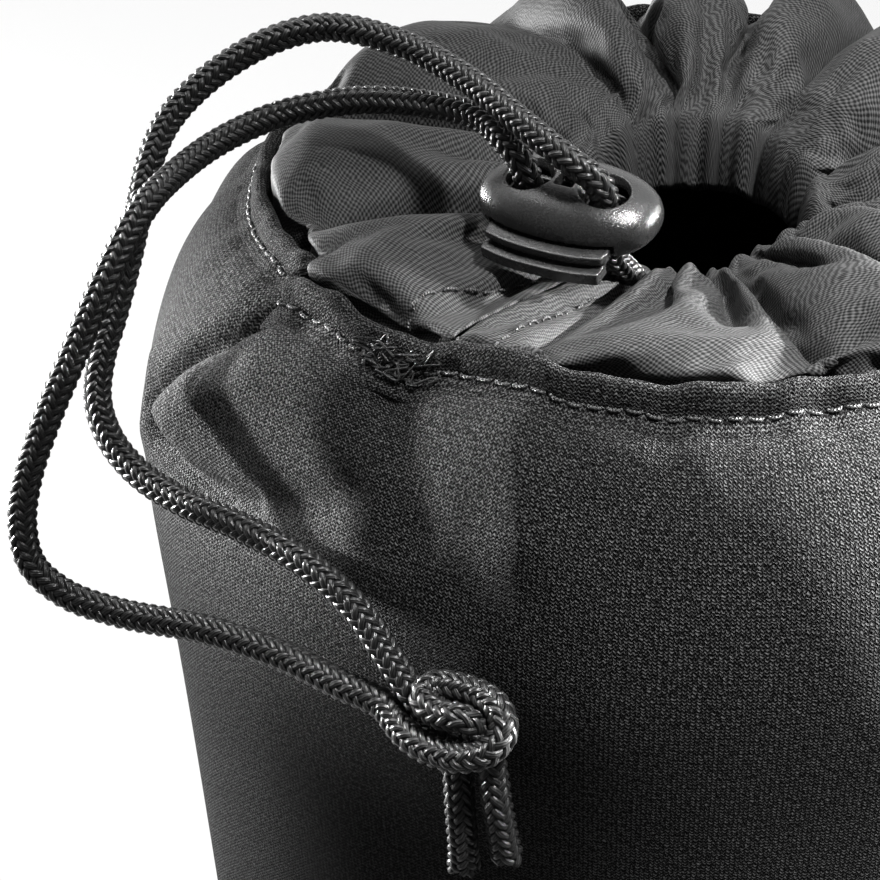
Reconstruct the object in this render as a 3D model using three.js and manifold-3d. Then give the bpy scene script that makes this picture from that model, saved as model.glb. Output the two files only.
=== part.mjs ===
// A soft neoprene lens pouch with a gathered nylon collar, a drawcord and a sprung cord lock.
// Millimetres, +Z up. The origin is the centre of the base, on the surface that the pouch stands on.
// Azimuth 0 is the front, -Y, and grows towards +X.
import * as THREE from 'three';
import { mergeVertices } from 'three/addons/utils/BufferGeometryUtils.js';
import Module from 'manifold-3d';

const wasm = await Module();
wasm.setup();

// Clearance between pieces that touch, and segments round a turned piece
const GAP = 0.3;
const ROUND = 48;

// Pouch body
const HEM_HEIGHT = 212;
const HEM_RADIUS = 49;
const BASE_RADIUS = 51.5;
const BELLY_RADIUS = 60.7;
const BELLY_DEPTH = 26;
const TAPER_POWER = 2.2;
const WALL = 5;
const FLANGE_WIDTH = 4.5;
const BASE_THICKNESS = 5;
const BASE_EDGE_RADIUS = 4;
const BINDING_WIDTH = 5;
const BINDING_THICKNESS = 1.3;
const PAD_THICKNESS = 6;
const LINING = 1.2;
const TAPE_WIDTH = 12;
const TAPE_THICKNESS = 0.8;
const TAPE_TOP_DEPTH = 33;

// Hem band that folds over the neoprene edge
const BAND_HEIGHT = 3.8;
const BAND_WIDTH = 4.2;

// Gathered collar: each puff runs to an azimuth in degrees, with its crest above the plain collar
const CLOTH = 0.9;
const SKIRT_DEPTH = 7;
const CREST_RADIUS = 38;
const PUFF_ROUNDNESS = 0.7;
const PUFF_START = -21;
const PUFFS = [
  { to: 18, crest: 3 },
  { to: 45, crest: 4 },
  { to: 75, crest: 5 },
  { to: 105, crest: 7 },
  { to: 150, crest: 10.5 },
  { to: 172, crest: 7 },
  { to: 192, crest: 5.5 },
  { to: 210, crest: 7 },
  { to: 260, crest: 11.5 },
  { to: 294, crest: 5 },
  { to: 325, crest: 4.5 },
  { to: 339, crest: 0 },
];
const SLIT_AZIMUTH = -29;
const SLIT_DIP = 3.2;
const SLIT_SPREAD = 24;
const HOLLOW_RADIUS = 14;

// Drawcord, and the casing that it runs in round the mouth
const CORD_DIAMETER = 3;
const CASING_WALL = 0.7;
const CASING_CLEARANCE = 0.4;
const MOUTH_RADIUS = 10.4;
const CASING_LIFT = 1;
const SLIT_HALF_ANGLE = 17;

// Cord lock: a pebble with two cord holes and a sprung button in front
const LOCK_X = -12.7;
const LOCK_Y = -19.7;
const LOCK_RISE = 8.6;
const LOCK_YAW = 24.5;
const LOCK_TILT = 15;
const LOCK_LENGTH = 20;
const LOCK_DEPTH = 11.7;
const LOCK_THICKNESS = 7;
const LOCK_FULLNESS = 2.4;
const HOLE_DIAMETER = 4.5;
const HOLE_SPACING = 8.8;
const HOLE_FLARE = 0.7;
const CHAMBER_END_WALL = 1.6;
const CHAMBER_BACK_WALL = 1.4;
const CHAMBER_HEIGHT = 3.6;
const WINDOW_SIZE = 2.2;
const PLUNGER_TRAVEL = 1.8;
const TONGUE_WIDTH = 13.6;
const BUTTON_WIDTH = 13.4;
const BUTTON_HEIGHT = 2.5;
const BUTTON_TOP = -0.3;
const BUTTON_REACH = 2.6;
const BUTTON_STEP = 1;
const HOLE_FRONT_WALL = 1.15;
const SPRING_DIAMETER = 2.6;
const SPRING_WIRE = 0.4;
const SPRING_TURNS = 6;
const SPRING_SEAT = 2.5;

// Free cord: hand-chosen points from the lock's holes round the left side to the knot,
// each an x, a y and a rise from the hem
const KNOT_POINT = [-18.9, -62.6, -26.2];
const KNOT_WIDTH = 11.5;
const KNOT_HEIGHT = 9.6;
const KNOT_THICKNESS = 7.6;
const RIGHT_ROUTE = [
  [-10, -23.1, 13], [-12.2, -22.9, 14.6], [-14.8, -21.4, 15.9], [-18.2, -18.5, 17.3], [-24, -12.5, 19],
  [-31.5, -7, 20.5], [-39.5, -4.5, 21], [-45.5, -5, 19.5], [-51.5, -8, 16.5], [-55.5, -12.5, 13.2],
  [-57, -17, 10], [-57.5, -21, 6.5], [-58, -25, 3], [-59, -28.5, -1.5], [-60, -31.7, -5.5],
  [-60, -34.3, -8.8], [-58.3, -37, -11.7], [-55, -40, -13.7], [-50, -43.4, -14.8], [-43.5, -47.3, -15],
  [-36.5, -52, -15.8], [-31, -55.6, -18.4], [-27.5, -58.2, -22.2],
];
const LEFT_ROUTE = [
  [-17.9, -18.8, 12.9], [-19.4, -17.4, 14.2], [-22.4, -13.6, 15.2], [-29.5, -9, 14.7], [-37, -6.8, 13.7],
  [-44.5, -7.8, 12.2], [-50, -12.3, 11], [-53.8, -19, 10], [-56, -25.5, 9], [-58.5, -31.5, 4.8],
  [-61.5, -36.5, -2], [-64, -40, -8], [-65.8, -42.5, -13.5], [-66.3, -44.2, -18], [-65.2, -45.8, -21.7],
  [-61.7, -47.3, -24], [-56, -48.8, -25], [-47, -51.3, -24.8], [-38.5, -54.6, -25.2], [-32, -57.9, -26.1],
  [-27.8, -59.8, -26.8],
];
const TAIL_DROP = 12.5;
const TAIL_SPREAD = 2.2;
const TAIL_STUB = 0.8;
const TAIL_SPLAY = 0.4;
const TAIL_LEAN = 2.4;
const TAIL_BOW = 0.6;
const RISER_TOP = 0.8;
const RISER_TURN = 1.4;
const RISER_LEAD = 1.2;

const DEG = Math.PI / 180;
const hemZ = (rise) => HEM_HEIGHT + rise;
const cordRadius = CORD_DIAMETER / 2;

// Materials, one for each stuff
const finish = (color, roughness, metalness = 0) =>
  new THREE.MeshStandardMaterial({ color, roughness, metalness });
const NEOPRENE = finish(0x1d1d1e, 0.95);
const NYLON = finish(0x3a3a3c, 0.6);
const LINING_CLOTH = finish(0x2b2b2d, 0.98);
const FOAM = finish(0x262627, 0.98);
const BRAID = finish(0x111112, 0.55);
const PLASTIC = finish(0x2c2c2d, 0.35);
const STEEL = finish(0x9a9a9a, 0.3, 1);

const pouch = new THREE.Group();
const lock = new THREE.Group();
lock.position.set(LOCK_X, LOCK_Y, hemZ(LOCK_RISE));
lock.rotation.set(LOCK_TILT * DEG, 0, -LOCK_YAW * DEG, 'ZYX');
lock.updateMatrix();
pouch.add(lock);

function place(name, geometry, material, parent = pouch) {
  const mesh = new THREE.Mesh(geometry, material);
  mesh.name = name;
  parent.add(mesh);
  return mesh;
}

// Solids: a closed geometry as a manifold and back, for the joins and cuts
function solid(geometry) {
  const bare = geometry.clone();
  bare.deleteAttribute('normal');
  bare.deleteAttribute('uv');
  const merged = mergeVertices(bare, 1e-4);
  return new wasm.Manifold(new wasm.Mesh({
    numProp: 3,
    vertProperties: merged.attributes.position.array,
    triVerts: new Uint32Array(merged.index.array),
  }));
}

function geometryOf(manifold) {
  const mesh = manifold.getMesh();
  const geometry = new THREE.BufferGeometry();
  geometry.setAttribute('position', new THREE.BufferAttribute(mesh.vertProperties, mesh.numProp));
  geometry.setIndex(new THREE.BufferAttribute(mesh.triVerts, 1));
  return geometry;
}

const join = (first, ...rest) => geometryOf(rest.reduce((sum, g) => sum.add(solid(g)), solid(first)));
const cut = (first, ...rest) => geometryOf(rest.reduce((left, g) => left.subtract(solid(g)), solid(first)));

// A profile of [radius, height] pairs, listed counter-clockwise, turned round the Z axis
function turned(profile) {
  const loop = [...profile, profile[0]].map(([r, z]) => new THREE.Vector2(r, z));
  return new THREE.LatheGeometry(loop, ROUND).rotateX(Math.PI / 2);
}

// A disc profile starts and ends on the axis
function turnedDisc(profile) {
  const line = profile.map(([r, z]) => new THREE.Vector2(r, z));
  return new THREE.LatheGeometry(line, ROUND).rotateX(Math.PI / 2);
}

// Closed sections, all with the same number of points, joined one after another.
// A ring joins its last section to its first, and a bar has a flat cap at each end.
function lofted(sections, isRing) {
  const size = sections[0].length;
  const positions = sections.flat().flatMap((p) => [p.x, p.y, p.z]);
  const index = [];
  const spans = isRing ? sections.length : sections.length - 1;
  for (let i = 0; i < spans; i += 1) {
    const here = i * size;
    const next = ((i + 1) % sections.length) * size;
    for (let k = 0; k < size; k += 1) {
      const after = (k + 1) % size;
      index.push(here + k, next + k, next + after, here + k, next + after, here + after);
    }
  }
  if (!isRing) {
    const last = (sections.length - 1) * size;
    for (let k = 1; k < size - 1; k += 1) {
      index.push(0, k, k + 1, last, last + k + 1, last + k);
    }
  }
  const geometry = new THREE.BufferGeometry();
  geometry.setAttribute('position', new THREE.Float32BufferAttribute(positions, 3));
  geometry.setIndex(index);
  return geometry;
}

function circleShape(radius, sides) {
  const points = Array.from({ length: sides }, (_, i) => new THREE.Vector2(
    radius * Math.cos((2 * Math.PI * i) / sides),
    radius * Math.sin((2 * Math.PI * i) / sides),
  ));
  return new THREE.Shape(points);
}

function tube(path, radius, sides, steps) {
  return new THREE.ExtrudeGeometry(circleShape(radius, sides), {
    steps,
    extrudePath: path,
    bevelEnabled: false,
  });
}

const around = (radius, azimuth, z) =>
  new THREE.Vector3(radius * Math.sin(azimuth * DEG), -radius * Math.cos(azimuth * DEG), z);

// Body profile: a gentle taper up to the belly, then an elliptical shoulder in to the hem
const bellyZ = hemZ(-BELLY_DEPTH);
const shoulderReach = BELLY_RADIUS - HEM_RADIUS;

function wallRadius(z) {
  return BASE_RADIUS + (BELLY_RADIUS - BASE_RADIUS) * (z / bellyZ) ** TAPER_POWER;
}

// The body line from a foot height to the flange, set in from the outer face
function bodyLine(inset, footZ, flangeRadius) {
  const wallSteps = 5;
  const shoulderSteps = 5;
  const line = [];
  for (let i = 0; i < wallSteps; i += 1) {
    const z = footZ + ((bellyZ - footZ) * i) / wallSteps;
    line.push([wallRadius(z) - inset, z]);
  }
  for (let i = 0; i <= shoulderSteps; i += 1) {
    const turn = ((Math.PI / 2) * i) / shoulderSteps;
    line.push([
      HEM_RADIUS + (shoulderReach - inset) * Math.cos(turn),
      bellyZ + (BELLY_DEPTH - inset) * Math.sin(turn),
    ]);
  }
  line.push([flangeRadius, hemZ(-inset)]);
  return line;
}

// A shell between two insets of the body line
function bodyShell(outerInset, innerInset, footZ, flangeRadius) {
  const outer = bodyLine(outerInset, footZ, flangeRadius);
  const inner = bodyLine(innerInset, footZ, flangeRadius);
  return turned([...outer, ...inner.reverse()]);
}

const flangeRadius = HEM_RADIUS - FLANGE_WIDTH;
const wallFoot = BASE_THICKNESS + GAP;
place('side_panel', bodyShell(0, WALL, wallFoot, flangeRadius), NEOPRENE);

const liningOuter = WALL + GAP;
const liningInner = liningOuter + LINING;
place('lining_wall', bodyShell(liningOuter, liningInner, wallFoot, flangeRadius), LINING_CLOTH);

// Base: a disc with a rounded lower edge, a binding round its seam, a foam pad and the lining over it
const edgeCentre = BASE_RADIUS - BASE_EDGE_RADIUS;
const baseEdge = [0, 30, 60, 90].map((angle) => [
  edgeCentre + BASE_EDGE_RADIUS * Math.sin(angle * DEG),
  BASE_EDGE_RADIUS - BASE_EDGE_RADIUS * Math.cos(angle * DEG),
]);
place('base_panel', turnedDisc([
  [0, 0], ...baseEdge, [BASE_RADIUS, BASE_THICKNESS], [0, BASE_THICKNESS],
]), NEOPRENE);

const bindingInner = wallRadius(BASE_THICKNESS + BINDING_WIDTH / 2) + GAP;
const bindingOuter = bindingInner + BINDING_THICKNESS;
const bindingLow = BASE_THICKNESS - BINDING_WIDTH / 2;
const bindingHigh = BASE_THICKNESS + BINDING_WIDTH / 2;
const bindingEdge = BINDING_WIDTH / 5;
place('base_binding', turned([
  [bindingInner, bindingLow], [bindingOuter, bindingLow + bindingEdge],
  [bindingOuter, bindingHigh - bindingEdge], [bindingInner, bindingHigh],
]), NYLON);

const insideRadius = wallRadius(wallFoot) - liningInner - GAP;
const padTop = wallFoot + PAD_THICKNESS;
const disc = (low, high) => turnedDisc([[0, low], [insideRadius, low], [insideRadius, high], [0, high]]);
place('base_pad', disc(wallFoot, padTop), FOAM);
const liningBaseTop = padTop + GAP + LINING;
place('lining_base', disc(padTop + GAP, liningBaseTop), LINING_CLOTH);

// Tape over the side seam, inside the lining below the slit
function seamTape() {
  const foot = liningBaseTop + GAP;
  const halfAngle = TAPE_WIDTH / 2 / insideRadius / DEG;
  const reach = hemZ(-TAPE_TOP_DEPTH) - foot;
  const heights = Array.from({ length: 7 }, (_, i) => foot + (reach * i) / 6);
  const turns = [-1, -0.5, 0, 0.5, 1].map((share) => SLIT_AZIMUTH + share * halfAngle);
  return lofted(heights.map((z) => {
    const outer = wallRadius(z) - liningInner - GAP;
    const inner = outer - TAPE_THICKNESS;
    return [
      ...turns.map((azimuth) => around(outer, azimuth, z)),
      ...[...turns].reverse().map((azimuth) => around(inner, azimuth, z)),
    ].reverse();
  }), false);
}
place('inner_seam_tape', seamTape(), NYLON);

// Hem band: a soft ring standing on the flange
const bandInner = flangeRadius;
const bandOuter = bandInner + BAND_WIDTH;
const bandMiddle = bandInner + BAND_WIDTH / 2;
const bandTop = hemZ(GAP + BAND_HEIGHT);
place('hem_band', turned([
  [bandInner, hemZ(GAP)],
  [bandOuter, hemZ(GAP)],
  [bandOuter + BAND_WIDTH / 10, hemZ(GAP + BAND_HEIGHT * 0.4)],
  [bandOuter - BAND_WIDTH / 8, hemZ(GAP + BAND_HEIGHT * 0.8)],
  [bandMiddle, bandTop],
  [bandInner, hemZ(GAP + BAND_HEIGHT * 0.9)],
]), NEOPRENE);

// Casing: an open ring of folded nylon with the drawcord inside, parted at the slit
const casingInner = cordRadius + CASING_CLEARANCE;
const casingOuter = casingInner + CASING_WALL;
const ringRadius = MOUTH_RADIUS + casingOuter;
const casingZ = hemZ(CASING_LIFT);

class RingPath extends THREE.Curve {
  getPoint(t) {
    const sweep = 360 - 2 * SLIT_HALF_ANGLE;
    return around(ringRadius, SLIT_AZIMUTH + SLIT_HALF_ANGLE + sweep * t, casingZ);
  }
}

function cordCasing() {
  const section = circleShape(casingOuter, 8);
  section.holes.push(circleShape(casingInner, 8));
  return new THREE.ExtrudeGeometry(section, {
    steps: 32,
    extrudePath: new RingPath(),
    bevelEnabled: false,
  });
}
place('cord_casing', cordCasing(), NYLON);
place('drawcord', tube(new RingPath(), cordRadius, 8, 30), BRAID);

// Collar: a closed cloth shell from its skirt behind the hem, over the puffs, in to the casing
const skirtRadius = flangeRadius - GAP;
const rimRadius = ringRadius + casingOuter + GAP;

function puffCrest(azimuth) {
  const turn = THREE.MathUtils.euclideanModulo(azimuth - PUFF_START, 360) + PUFF_START;
  const after = PUFFS.findIndex((puff) => turn < puff.to);
  const from = after === 0 ? PUFF_START : PUFFS[after - 1].to;
  const share = (turn - from) / (PUFFS[after].to - from);
  return PUFFS[after].crest * Math.sin(Math.PI * share) ** PUFF_ROUNDNESS;
}

function slitDip(azimuth) {
  const away = THREE.MathUtils.euclideanModulo(azimuth - SLIT_AZIMUTH + 180, 360) - 180;
  return SLIT_DIP * Math.exp(-((away / SLIT_SPREAD) ** 2));
}

// Stations along the collar: share of the way from the crest to the rim, plain rise, shares of puff and dip
function collarLine(azimuth) {
  const crest = puffCrest(azimuth);
  const dip = slitDip(azimuth);
  const inward = (share) => CREST_RADIUS + (rimRadius - CREST_RADIUS) * share;
  const lip = GAP + BAND_HEIGHT;
  const stations = [
    { radius: skirtRadius, rise: -SKIRT_DEPTH, puff: 0, dip: 0 },
    { radius: skirtRadius, rise: lip * 1.05, puff: 0, dip: 0 },
    { radius: skirtRadius + 0.1 * crest, rise: lip * 1.24, puff: 0.6, dip: 0 },
    { radius: CREST_RADIUS, rise: lip * 1.2, puff: 1, dip: 0.6 },
    { radius: inward(0.38), rise: lip * 0.8, puff: 0.9, dip: 0.9 },
    { radius: inward(0.74), rise: lip * 0.4, puff: 0.45, dip: 1 },
    { radius: rimRadius, rise: CASING_LIFT, puff: 0, dip: 1 },
  ];
  return stations.map((station) => {
    const flat = around(station.radius, azimuth, 0);
    const away = Math.hypot(flat.x - LOCK_X, flat.y - LOCK_Y);
    const hollow = 1 - Math.exp(-((away / HOLLOW_RADIUS) ** 2));
    const z = hemZ(station.rise + station.puff * crest * hollow - station.dip * dip);
    return new THREE.Vector2(station.radius, z);
  });
}

// The same line moved inwards, square to itself, by the cloth's thickness
function innerLine(line) {
  return line.map((point, i) => {
    const before = line[Math.max(i - 1, 0)];
    const after = line[Math.min(i + 1, line.length - 1)];
    const along = after.clone().sub(before).normalize();
    return new THREE.Vector2(point.x - along.y * CLOTH, point.y + along.x * CLOTH);
  });
}

function collar() {
  const columns = 84;
  return lofted(Array.from({ length: columns }, (_, i) => {
    const azimuth = (360 * i) / columns;
    const outer = collarLine(azimuth);
    const inner = innerLine(outer);
    return [...outer, ...inner.reverse()].map((point) => around(point.x, azimuth, point.y));
  }), true);
}
place('collar', collar(), NYLON);

// Lock body: a fuller ellipsoid, cut by the holes, the plunger's chamber, the button's recess and a window
const lockHalf = new THREE.Vector3(LOCK_LENGTH / 2, LOCK_DEPTH / 2, LOCK_THICKNESS / 2);
const holeX = HOLE_SPACING / 2;
const holeRadius = HOLE_DIAMETER / 2;
const cordY = -(holeRadius - cordRadius - GAP);
const chamberHalf = CHAMBER_HEIGHT / 2;
const recessBack = -(holeRadius + HOLE_FRONT_WALL);
const recessTop = BUTTON_TOP + GAP;
const frontWidth = TONGUE_WIDTH + 2 * GAP;
const farOut = LOCK_LENGTH;

const powered = (value) => Math.sign(value) * Math.abs(value) ** (2 / LOCK_FULLNESS);

function pebble() {
  const geometry = new THREE.SphereGeometry(1, 32, 16);
  const position = geometry.attributes.position;
  for (let i = 0; i < position.count; i += 1) {
    const polar = Math.acos(THREE.MathUtils.clamp(position.getY(i), -1, 1));
    const turn = Math.atan2(position.getZ(i), position.getX(i));
    const belt = powered(Math.sin(polar));
    position.setXYZ(
      i,
      lockHalf.x * belt * powered(Math.cos(turn)),
      -lockHalf.y * belt * powered(Math.sin(turn)),
      lockHalf.z * powered(Math.cos(polar)),
    );
  }
  return geometry;
}

// A flat plan outline with the pebble's curve, as a slab between two heights
function ovalShape(halfX, halfY, shiftY) {
  const points = Array.from({ length: 32 }, (_, i) => {
    const turn = (2 * Math.PI * i) / 32;
    return new THREE.Vector2(halfX * powered(Math.cos(turn)), halfY * powered(Math.sin(turn)) + shiftY);
  });
  return new THREE.Shape(points);
}

function slab(shape, low, high) {
  return new THREE.ExtrudeGeometry(shape, { depth: high - low, bevelEnabled: false }).translate(0, 0, low);
}

function block(xs, ys, zs) {
  return new THREE.BoxGeometry(xs[1] - xs[0], ys[1] - ys[0], zs[1] - zs[0])
    .translate((xs[0] + xs[1]) / 2, (ys[0] + ys[1]) / 2, (zs[0] + zs[1]) / 2);
}

function upright(topRadius, bottomRadius, x, low, high) {
  return new THREE.CylinderGeometry(topRadius, bottomRadius, high - low, 24)
    .rotateX(Math.PI / 2)
    .translate(x, 0, (low + high) / 2);
}

function cordHole(x) {
  const flareLow = lockHalf.z * 0.55;
  const flareTop = holeRadius + HOLE_FLARE;
  return join(
    upright(holeRadius, holeRadius, x, -LOCK_THICKNESS, LOCK_THICKNESS),
    upright(flareTop, holeRadius, x, flareLow, lockHalf.z),
    upright(holeRadius, flareTop, x, -lockHalf.z, -flareLow),
  );
}

const chamberX = lockHalf.x - CHAMBER_END_WALL;
const chamberY = lockHalf.y - CHAMBER_BACK_WALL;
place('lock_body', cut(
  pebble(),
  cordHole(-holeX),
  cordHole(holeX),
  slab(ovalShape(chamberX, chamberY, 0), -chamberHalf, chamberHalf),
  block([-frontWidth / 2, frontWidth / 2], [-farOut, 0], [-chamberHalf, recessTop]),
  block([-frontWidth / 2, frontWidth / 2], [-farOut, recessBack], [-farOut, recessTop]),
  block([-WINDOW_SIZE / 2, WINDOW_SIZE / 2], [-WINDOW_SIZE / 2, WINDOW_SIZE / 2], [0, farOut]),
), PLASTIC, lock);

// Plunger: a tongue in the chamber with two cord slots and the spring's slot, and the stepped button in front
const tongueHalf = chamberHalf - GAP;
const buttonBack = recessBack - PLUNGER_TRAVEL - GAP;
const slotHalf = cordRadius + GAP;
const slotFront = cordY - cordRadius - GAP - PLUNGER_TRAVEL;
const slotBack = cordY + cordRadius + GAP;
const springHalf = SPRING_DIAMETER / 2 + GAP;
const buttonHalf = BUTTON_WIDTH / 2;

function cordSlot(x) {
  return block([x - slotHalf, x + slotHalf], [slotFront, slotBack], [-farOut, farOut]);
}

function tongue() {
  const plan = slab(ovalShape(chamberX - GAP, chamberY - GAP, -PLUNGER_TRAVEL), -tongueHalf, tongueHalf);
  const neck = block(
    [-TONGUE_WIDTH / 2, TONGUE_WIDTH / 2],
    [buttonBack - GAP, -PLUNGER_TRAVEL],
    [-tongueHalf, BUTTON_TOP],
  );
  const both = (x, ys, zs) => [block([-farOut, -x], ys, zs), block([x, farOut], ys, zs)];
  return cut(
    join(plan, neck),
    ...both(TONGUE_WIDTH / 2, [-farOut, farOut], [-farOut, farOut]),
    ...both(holeX - slotHalf, [-farOut, -SPRING_SEAT], [BUTTON_TOP, farOut]),
    block([-farOut, farOut], [-farOut, buttonBack - GAP], [-farOut, farOut]),
    block([-farOut, farOut], [-farOut, GAP - chamberY], [BUTTON_TOP, farOut]),
    cordSlot(-holeX),
    cordSlot(holeX),
    block([-springHalf, springHalf], [-SPRING_SEAT, farOut], [-farOut, farOut]),
  );
}

function buttonPart(reach, low, high) {
  const plan = slab(ovalShape(lockHalf.x + reach, lockHalf.y + reach, 0), low, high);
  const room = block([-buttonHalf, buttonHalf], [-farOut, buttonBack], [low, high]);
  return geometryOf(solid(plan).intersect(solid(room)));
}

const stepZ = BUTTON_TOP - BUTTON_STEP;
place('lock_plunger', join(
  tongue(),
  buttonPart(BUTTON_REACH - BUTTON_STEP, BUTTON_TOP - BUTTON_HEIGHT, BUTTON_TOP),
  buttonPart(BUTTON_REACH, BUTTON_TOP - BUTTON_HEIGHT, stepZ),
), PLASTIC, lock);

// Spring between the plunger's slot and the chamber's back wall
class SpringPath extends THREE.Curve {
  getPoint(t) {
    const radius = (SPRING_DIAMETER - SPRING_WIRE) / 2;
    const turn = 2 * Math.PI * SPRING_TURNS * t;
    const front = -SPRING_SEAT + GAP + SPRING_WIRE / 2;
    const back = chamberY - GAP - SPRING_WIRE / 2;
    return new THREE.Vector3(radius * Math.cos(turn), front + (back - front) * t, radius * Math.sin(turn));
  }
}
place('lock_spring', tube(new SpringPath(), SPRING_WIRE / 2, 5, SPRING_TURNS * 8), STEEL, lock);

// Cord: risers from the casing up through the lock, then the free strands to the knot
const inLock = (x, y, z) => new THREE.Vector3(x, y, z).applyMatrix4(lock.matrix);
const fromHem = ([x, y, rise]) => new THREE.Vector3(x, y, hemZ(rise));
const smooth = (points) => new THREE.CatmullRomCurve3(points, false, 'centripetal');

function riser(side) {
  const start = SLIT_AZIMUTH + side * SLIT_HALF_ANGLE;
  const gapAngle = (side * GAP) / ringRadius / DEG;
  const foot = around(ringRadius, start - gapAngle, casingZ);
  const turnAngle = (side * RISER_TURN) / ringRadius / DEG;
  const bend = around(ringRadius + RISER_TURN * 0.35, start - gapAngle - turnAngle, casingZ);
  const under = inLock(side * holeX, cordY, -lockHalf.z - RISER_LEAD);
  const half = bend.clone().lerp(under, 0.5);
  half.z = casingZ + 0.35 * (under.z - casingZ);
  const inside = [-lockHalf.z / 3, RISER_TOP].map((z) => inLock(side * holeX, cordY, z));
  return smooth([foot, bend, half, under, ...inside]);
}

function strand(side, route) {
  const start = [RISER_TOP + GAP, lockHalf.z * 0.75].map((z) => inLock(side * holeX, cordY, z));
  return smooth([...start, ...route.map(fromHem)]);
}

place('cord_riser_left', tube(riser(-1), cordRadius, 8, 8), BRAID);
place('cord_riser_right', tube(riser(1), cordRadius, 8, 8), BRAID);
place('cord_strand_left', tube(strand(-1, LEFT_ROUTE), cordRadius, 8, 28), BRAID);
place('cord_strand_right', tube(strand(1, RIGHT_ROUTE), cordRadius, 8, 28), BRAID);

// Knot: two wraps round a core, with the stubs where both strands go in and both tails come out
const knotCentre = fromHem(KNOT_POINT);
const knotTurn = Math.atan2(knotCentre.x, -knotCentre.y);

function wrap(tilt, shiftZ) {
  return new THREE.TorusGeometry(KNOT_WIDTH / 2 - cordRadius, cordRadius, 7, 16)
    .scale(1, KNOT_THICKNESS / KNOT_WIDTH, 1)
    .rotateY(tilt * DEG)
    .translate(0, 0, shiftZ);
}

function stub(from, to) {
  const path = new THREE.LineCurve3(from, to);
  return tube(path, cordRadius, 8, 1);
}

function tailTop(side) {
  const drop = KNOT_HEIGHT / 2 + TAIL_STUB;
  return knotCentre.clone().add(new THREE.Vector3(side * TAIL_SPREAD, 0, -drop));
}

function knot() {
  const core = new THREE.SphereGeometry(1, 12, 8)
    .scale(KNOT_WIDTH * 0.4, KNOT_THICKNESS * 0.42, KNOT_HEIGHT * 0.45);
  const ball = join(core, wrap(24, KNOT_HEIGHT * 0.14), wrap(-30, -KNOT_HEIGHT * 0.14))
    .rotateZ(knotTurn)
    .translate(knotCentre.x, knotCentre.y, knotCentre.z);
  const entries = [[1, RIGHT_ROUTE], [-1, LEFT_ROUTE]].map(([side, route]) => {
    const onward = strand(side, route).getTangentAt(1);
    const mouth = fromHem(route[route.length - 1]).addScaledVector(onward, GAP);
    const lead = mouth.clone().addScaledVector(onward, cordRadius);
    return tube(smooth([mouth, lead, knotCentre]), cordRadius, 8, 3);
  });
  const exits = [-1, 1].map((side) => {
    const low = tailTop(side);
    return stub(low, low.clone().setZ(knotCentre.z));
  });
  return join(ball, ...entries, ...exits);
}
place('cord_knot', knot(), BRAID);

function tail(side) {
  const top = tailTop(side).add(new THREE.Vector3(0, 0, -GAP));
  const low = top.clone().add(new THREE.Vector3(side * TAIL_SPLAY, TAIL_LEAN, -TAIL_DROP));
  const middle = top.clone().lerp(low, 0.5).add(new THREE.Vector3(0, -TAIL_BOW, 0));
  return smooth([top, middle, low]);
}
place('cord_tail_left', tube(tail(-1), cordRadius, 8, 4), BRAID);
place('cord_tail_right', tube(tail(1), cordRadius, 8, 4), BRAID);

export default pouch;
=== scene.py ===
import math
from math import cos, pi, radians, sin

import bmesh
import bpy
import numpy as np
from mathutils import Matrix, Vector


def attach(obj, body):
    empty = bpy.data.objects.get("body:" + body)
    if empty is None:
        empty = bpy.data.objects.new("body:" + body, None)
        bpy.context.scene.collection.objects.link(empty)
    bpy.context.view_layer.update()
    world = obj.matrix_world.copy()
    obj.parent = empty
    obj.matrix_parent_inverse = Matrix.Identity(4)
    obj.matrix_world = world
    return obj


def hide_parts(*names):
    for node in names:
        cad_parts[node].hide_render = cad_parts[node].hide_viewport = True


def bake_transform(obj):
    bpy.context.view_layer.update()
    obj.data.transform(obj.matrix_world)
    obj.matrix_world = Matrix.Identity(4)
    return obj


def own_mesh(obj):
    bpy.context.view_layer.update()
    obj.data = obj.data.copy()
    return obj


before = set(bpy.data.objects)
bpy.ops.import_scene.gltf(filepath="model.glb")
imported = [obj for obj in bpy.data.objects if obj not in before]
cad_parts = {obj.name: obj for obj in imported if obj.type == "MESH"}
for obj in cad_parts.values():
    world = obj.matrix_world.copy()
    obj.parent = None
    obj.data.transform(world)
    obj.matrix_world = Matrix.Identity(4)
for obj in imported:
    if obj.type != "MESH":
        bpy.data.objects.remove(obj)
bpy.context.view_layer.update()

# Driving sizes in mm, as in the CAD model
MM = 0.001
HEM = 212.0
HEM_RADIUS = 49
BELLY_DROP = 26
BELLY_Z = HEM - BELLY_DROP
BELLY_RADIUS = 60.7
BASE_RADIUS = 51.5
WALL = 5
ROUND = 2 * pi
random = np.random.default_rng(11)


def new_object(name, data):
    made = bpy.data.objects.new(name, data)
    bpy.context.scene.collection.objects.link(made)
    return made


# A piece that moves with one body and stands in for CAD nodes, if it names any
def dress(piece, body, slot, *nodes):
    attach(piece, body)
    if nodes:
        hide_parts(*nodes)
    return piece


# Camera, from the photo's outline, and lights, in metres
CAMERA_PLACE = (0, -0.290018, 0.347238)
CAMERA_YAW = radians(-5.5258)
CAMERA_PITCH = radians(29.7332)
CAMERA_LENS = 118.69
CAMERA_SENSOR = 36


def aimed_object(data, place, direction):
    made = new_object(data.name, data)
    made.location = place
    made.rotation_mode = "QUATERNION"
    made.rotation_quaternion = direction.to_track_quat("-Z", "Y")
    return made


def set_camera():
    level = cos(CAMERA_PITCH)
    forward = Vector((sin(CAMERA_YAW) * level, cos(CAMERA_YAW) * level, -sin(CAMERA_PITCH)))
    data = bpy.data.cameras.new("camera")
    data.sensor_width = CAMERA_SENSOR
    data.lens = CAMERA_LENS
    bpy.context.scene.camera = aimed_object(data, CAMERA_PLACE, forward)


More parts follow.
